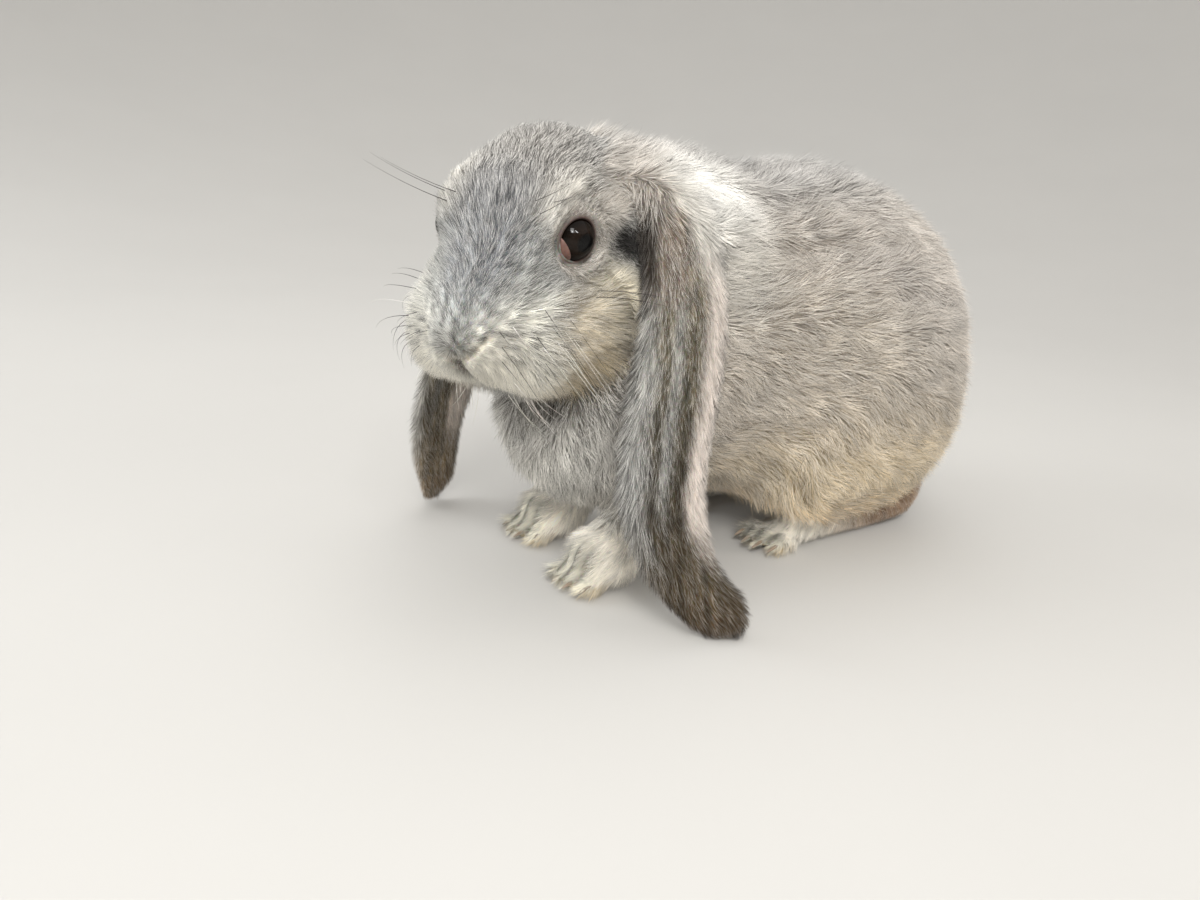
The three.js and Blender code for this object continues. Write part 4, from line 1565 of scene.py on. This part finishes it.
class RabbitStage(bpy.types.PropertyGroup):
    """The floor, the light and the camera."""

    floor_colour: bpy.props.FloatVectorProperty(
        name="Floor", description="Colour of the floor", default=(0.5, 0.488, 0.465), subtype="COLOR", size=3
    )
    key_power: bpy.props.FloatProperty(
        name="Key light", description="Power of the large soft light, in watts", default=10.0, unit="POWER"
    )
    fill_power: bpy.props.FloatProperty(
        name="Fill light", description="Power of the light from the other side, in watts", default=7.0, unit="POWER"
    )
    sky: bpy.props.FloatProperty(
        name="Surrounding light", description="Strength of the even light from all round", default=1.0
    )


# ---------------------------------------------------------------- pieces


class RABBIT_OT_skin(bpy.types.Operator):
    """Melt the flesh solids into one skin that lies under the coat"""

    bl_idname = "rabbit.skin"
    bl_label = "Skin"

    def execute(self, context):
        solids, faces, owners = joined_solids(FLESH, SEAM_OVERLAP)
        points, quads, edges = melted(solids, faces)
        tree = BVHTree.FromPolygons(solids.tolist(), faces.tolist())
        region = nearest_region(points, tree, owners)
        points = evened(points, edges, SURFACE_ROUNDS)
        normals = unit(many_smooth(normals_of(points, quads), edges, len(points), NORMAL_ROUNDS))
        head = folded_head(points)
        # The hollow and slit behind the cheek: pressed into the skin, kept free of puffs and painted with shadow.
        dark = slit(head) * ~on(region, "ear")
        folds = groove_depth(head) * on(region, "head")
        short = short_places(points, region)
        sunk = folds + SLIT_DEPTH * dark + tucked(points)
        points = points + eye_hollow(points) - normals * (sunk * MM)[:, None]
        deep = coat_depth(points, region, edges, context.scene.rabbit_coat) * short
        inner = evened(points - normals * (deep * MM)[:, None], edges, INNER_ROUNDS)
        full = puffed(head) * on(region, "head", "neck") * (1 - dark) + ear_fullness(points) * on(region, "ear")
        full += foot_fullness(points, normals, region)
        full = many_smooth(full, edges, len(points), FULLNESS_ROUNDS)
        points = points + normals * (full * MM)[:, None]
        mesh = mesh_of("skin", inner, [quads])
        keep(mesh, "outer", points)
        keep(mesh, "up", normals)
        keep(mesh, "lie", lie_of_coat(points, normals, region, edges))
        keep(mesh, "deep", deep + full)
        keep(mesh, "short", from_share(SHORTEST_TUFT, short))
        keep(mesh, "region", region)
        # Lay the painted shadow into the hollow and the slit.
        colour = mixed(markings(points, region, folds), linear(*SLIT_PAINTED_SHADOW), 0.96 * dark)
        colour = many_smooth(colour, edges, len(points), COLOUR_ROUNDS)
        keep_colour(mesh, "broad", colour)
        keep_colour(mesh, "coat", colour * fine_marks(points, region)[:, None])
        skin = new_object("skin", mesh, finish("skin", bare_skin), "fur_trunk", *FLESH)
        print("skin", len(points), "points,", len(quads) * 2, "triangles, inside", skin.name)
        return {"FINISHED"}


class RABBIT_OT_eyes(bpy.types.Operator):
    """Smooth glossy eyes with the pink fold of the third lid in their front corner"""

    bl_idname = "rabbit.eyes"
    bl_label = "Eyes"

    def execute(self, context):
        for side in SIDES:
            eyeball(side, context.scene.rabbit_face.eye_colour)
            third_lid(side)
        return {"FINISHED"}


class RABBIT_OT_lids(bpy.types.Operator):
    """Soft lids round the eyes, with short pale hair and a few lashes"""

    bl_idname = "rabbit.lids"
    bl_label = "Lids"

    def execute(self, context):
        turns = turns_round(LID_TURNS)
        for k, side in enumerate(SIDES):
            rows = lid_rows(side, turns)
            hairy = grow_lids(side, rows, turns)
            grow_coat(context, "coat_lids_" + side, "fur_head", hairy, 60 + k, False, LID, base="lids_" + side)
            grow_lashes(side, rows[3], turns, np.random.default_rng(SEED + 90 + k))
        return {"FINISHED"}


class RABBIT_OT_whiskers(bpy.types.Operator):
    """Whiskers of the muzzle, brows, cheeks and chin"""

    bl_idname = "rabbit.whiskers"
    bl_label = "Whiskers"

    def execute(self, context):
        rng = np.random.default_rng(SEED + 95)
        outer = kept(bpy.data.objects["skin"].data, "outer")
        tree = point_tree(outer)
        shapes, shades = [], []
        for sign in SIDES.values():
            for at, way, sag, length, pale in whiskers_of(sign, context.scene.rabbit_face.whisker_length, rng):
                root = np.array(tree.find(from_head(np.array(at)).tolist())[0])
                way, sag = unit(np.array(way) @ HEAD_AXES), np.array(sag) @ HEAD_AXES
                radius, shade = (PALE_RADIUS, PALE_WHISKER) if pale else (DARK_RADIUS, DARK_WHISKER)
                shapes.append(hair_tube(root, way, sag, length * MM, radius * MM))
                shades.append(np.tile(linear(*shade), (len(shapes[-1][0]), 1)))
        mesh = mesh_of("whiskers", *gathered(shapes))
        keep_colour(mesh, "coat", np.concatenate(shades))
        new_object(mesh.name, mesh, finish("whisker", stiff_hair), "fur_head")
        return {"FINISHED"}


class RABBIT_OT_claws(bpy.types.Operator):
    """Horn finish of the claws"""

    bl_idname = "rabbit.claws"
    bl_label = "Claws"

    def execute(self, context):
        for name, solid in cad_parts.items():
            if name.startswith("claw"):
                for place in solid.material_slots:
                    place.material = finish("horn", horn)
        return {"FINISHED"}


class RABBIT_OT_head_coat(bpy.types.Operator):
    """Short hair of the face and crown"""

    bl_idname = "rabbit.head_coat"
    bl_label = "Head coat"

    def execute(self, context):
        region, _, head = skin_places()
        front, left = head[:, 0] < CROWN_FROM, head[:, 1] < 0
        face = on(region, "head") & front
        grow_coat(context, "coat_face_left", "fur_head", face & left, 1, False, SHORT)
        grow_coat(context, "coat_face_right", "fur_head", face & ~left, 2, False, SHORT)
        grow_coat(context, "coat_crown", "fur_head", on(region, "head") & ~front, 3, True, CROWN)
        return {"FINISHED"}


class RABBIT_OT_body_coat(bpy.types.Operator):
    """Plush hair of the neck, trunk and thighs"""

    bl_idname = "rabbit.body_coat"
    bl_label = "Body coat"

    def execute(self, context):
        region, mm, _ = skin_places()
        grow_coat(context, "coat_neck", "fur_neck", on(region, "neck"), 10, True, LONG)
        trunk, x = on(region, "trunk"), mm[:, 0]
        parts = {
            "shoulder": trunk & (x < FLANK_FROM),
            "flank": trunk & (x >= FLANK_FROM) & (x < RUMP_FROM),
            "rump": trunk & (x >= RUMP_FROM),
            "thigh": on(region, "thigh"),
        }
        seed = 11
        for side, mine in sides_of(mm).items():
            for name, part in parts.items():
                grow_coat(context, f"coat_{name}_{side}", "fur_trunk", mine & part, seed, True, LONG)
                seed += 1
        return {"FINISHED"}


class RABBIT_OT_leg_coat(bpy.types.Operator):
    """Hair of the forelegs and feet"""

    bl_idname = "rabbit.leg_coat"
    bl_label = "Leg coat"

    def execute(self, context):
        region, mm, _ = skin_places()
        parts = (
            ("foreleg", "fur_trunk", True, SHORT),
            ("forepaw", "fur_paw", False, FOOT),
            ("hindfoot", "fur_paw", False, FOOT),
        )
        seed = 30
        for side, mine in sides_of(mm).items():
            for name, slot, bent, kind in parts:
                grow_coat(context, f"coat_{name}_{side}", slot, mine & on(region, name), seed, bent, kind)
                seed += 1
        return {"FINISHED"}


class RABBIT_OT_ear_coat(bpy.types.Operator):
    """Short sleek hair of the ears"""

    bl_idname = "rabbit.ear_coat"
    bl_label = "Ear coat"

    def execute(self, context):
        region, mm, _ = skin_places()
        for k, (side, mine) in enumerate(sides_of(mm).items()):
            grow_coat(context, "coat_ear_" + side, "fur_ear", mine & on(region, "ear"), 40 + k, False, SLEEK)
        return {"FINISHED"}


class RABBIT_OT_tail_coat(bpy.types.Operator):
    """Fluffy hair of the tail"""

    bl_idname = "rabbit.tail_coat"
    bl_label = "Tail coat"

    def execute(self, context):
        grow_coat(context, "coat_tail", "fur_tail", on(skin_places()[0], "tail"), 50, True, LONG)
        return {"FINISHED"}


# ---------------------------------------------------------------- stage

# The camera: where it stands, in millimetres, its right, up and back, and its lens.
CAMERA_AT = (-299.78, -312.97, 182.0)
CAMERA_AXES = ((0.8107, -0.5812, 0.0708), (0.1308, 0.2976, 0.9457), (-0.5707, -0.7574, 0.3173))
SENSOR = 36
LENS = 27.92

# The floor, a flat middle that curves up into a wall, in metres.
BOWL_FLAT = 0.7
BOWL_REACH = 3.2
BOWL_HEIGHT = 2.4
BOWL_RINGS = 24
BOWL_SIDES = 96

# The lamps: place and size in metres, power in watts or as a share of a setting, colour, and spread in degrees.
# A narrow spread leaves the floor under a lamp dark.
WHITE = (1.0, 1.0, 1.0)
LAMPS = {
    "key": ((-0.75, -1.0, 1.25), 0.45, 1.0, "key_power", (1.0, 0.985, 0.96), 180),
    "fill": ((-1.2, 0.75, 0.8), 0.9, 1.6, "fill_power", (0.95, 0.98, 1.0), 180),
    "top": ((0.35, 0.3, 1.5), 1.0, 0.6, "fill_power", WHITE, 180),
    "low": ((-1.3, -1.4, 0.62), 1.0, 0.36, "fill_power", (1.0, 0.99, 0.97), 60),
    "side": ((1.3, -1.4, 0.7), 1.0, 0.12, "fill_power", (1.0, 0.99, 0.97), 60),
    "catch": ((-0.62, -0.8, 0.78), 0.15, 3.4, None, WHITE, 180),
    "catch_small": ((-0.35, -0.9, 0.95), 0.08, 1.4, None, WHITE, 180),
}
LAMPS_AIM = (0, 0, 0.09)
LARGEST_IN_GLOSS = 0.5
SKY_COLOUR = (1.0, 0.99, 0.975, 1)


class RABBIT_OT_stage(bpy.types.Operator):
    """Pale floor that curves up into a wall, soft light and the camera"""

    bl_idname = "rabbit.stage"
    bl_label = "Stage"

    def execute(self, context):
        look = context.scene.rabbit_stage
        self.floor(look.floor_colour)
        for name, (at, size, share, setting, colour, spread) in LAMPS.items():
            power = share * getattr(look, setting) if setting else share
            self.lamp(name, at, size, power, colour, math.radians(spread))
        world = bpy.data.worlds.new("studio")
        world.use_nodes = True
        feed(world.node_tree, world.node_tree.nodes["Background"], {"Color": SKY_COLOUR, "Strength": look.sky})
        lens = bpy.data.cameras.new("camera")
        lens.sensor_width = SENSOR
        lens.lens = LENS
        lens.clip_start = 0.01
        camera = in_scene("camera", lens)
        camera.matrix_world = placed(*CAMERA_AXES, np.array(CAMERA_AT) * MM)
        context.scene.world = world
        context.scene.camera = camera
        context.scene.view_settings.view_transform = "Standard"
        return {"FINISHED"}

    def floor(self, colour):
        """A round floor of rings that climb a quarter of an ellipse."""
        around = turns_round(BOWL_SIDES)
        rings = []
        for turn in np.linspace(0, math.pi / 2, BOWL_RINGS):
            r = BOWL_FLAT + (BOWL_REACH - BOWL_FLAT) * math.sin(turn)
            z = BOWL_HEIGHT * (1 - math.cos(turn))
            rings.append(np.stack((r * np.cos(around), r * np.sin(around), np.full(BOWL_SIDES, z)), 1))
        a = np.arange(BOWL_SIDES)
        b = (a + 1) % BOWL_SIDES
        fan = np.stack((np.zeros(BOWL_SIDES, int), a + 1, b + 1), 1)
        band = np.stack((a, a + BOWL_SIDES, b + BOWL_SIDES, b), 1) + 1
        bands = [band + k * BOWL_SIDES for k in range(BOWL_RINGS - 1)]
        mesh = mesh_of("studio_floor", np.concatenate(([[0, 0, 0]], *rings)), [fan, np.concatenate(bands)])
        mesh.materials.append(finish("studio floor", matt_floor, colour))
        in_scene("studio_floor", mesh)

    def lamp(self, name, at, size, power, colour, spread):
        """A soft square light that faces the rabbit; only a small one shows in what is glossy."""
        light = bpy.data.lights.new(name, "AREA")
        light.size, light.energy, light.spread, light.color = size, power, spread, colour
        lamp = in_scene(name, light)
        back = unit(np.array(at) - LAMPS_AIM)
        right = unit(np.cross((0, 0, 1), back))
        lamp.matrix_world = placed(right, np.cross(back, right), back, at)
        lamp.visible_glossy = size < LARGEST_IN_GLOSS


class RABBIT_PT_panel(bpy.types.Panel):
    """The rabbit's settings and the pieces in the order they are built"""

    bl_idname = "RABBIT_PT_panel"
    bl_label = "Lop rabbit"
    bl_space_type = "VIEW_3D"
    bl_region_type = "UI"
    bl_category = "Rabbit"

    def draw(self, context):
        for settings in (getattr(context.scene, name) for name in SETTINGS):
            box = self.layout.box()
            for key in type(settings).__annotations__:
                box.prop(settings, key)
        for piece in PIECES:
            self.layout.operator(piece.bl_idname)


PIECES = (
    RABBIT_OT_skin,
    RABBIT_OT_eyes,
    RABBIT_OT_lids,
    RABBIT_OT_whiskers,
    RABBIT_OT_claws,
    RABBIT_OT_head_coat,
    RABBIT_OT_body_coat,
    RABBIT_OT_leg_coat,
    RABBIT_OT_ear_coat,
    RABBIT_OT_tail_coat,
    RABBIT_OT_stage,
)
SETTINGS = {"rabbit_coat": RabbitCoat, "rabbit_face": RabbitFace, "rabbit_stage": RabbitStage}


def register():
    for made in (*SETTINGS.values(), *PIECES, RABBIT_PT_panel):
        bpy.utils.register_class(made)
    for name, group in SETTINGS.items():
        setattr(bpy.types.Scene, name, bpy.props.PointerProperty(type=group))


def unregister():
    for name in SETTINGS:
        delattr(bpy.types.Scene, name)
    for made in (RABBIT_PT_panel, *reversed(PIECES), *reversed(SETTINGS.values())):
        bpy.utils.unregister_class(made)


def main():
    """Builds the whole rabbit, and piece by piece."""
    register()
    for piece in PIECES:
        family, name = piece.bl_idname.split(".")
        getattr(getattr(bpy.ops, family), name)()


if __name__ == "__main__":
    main()
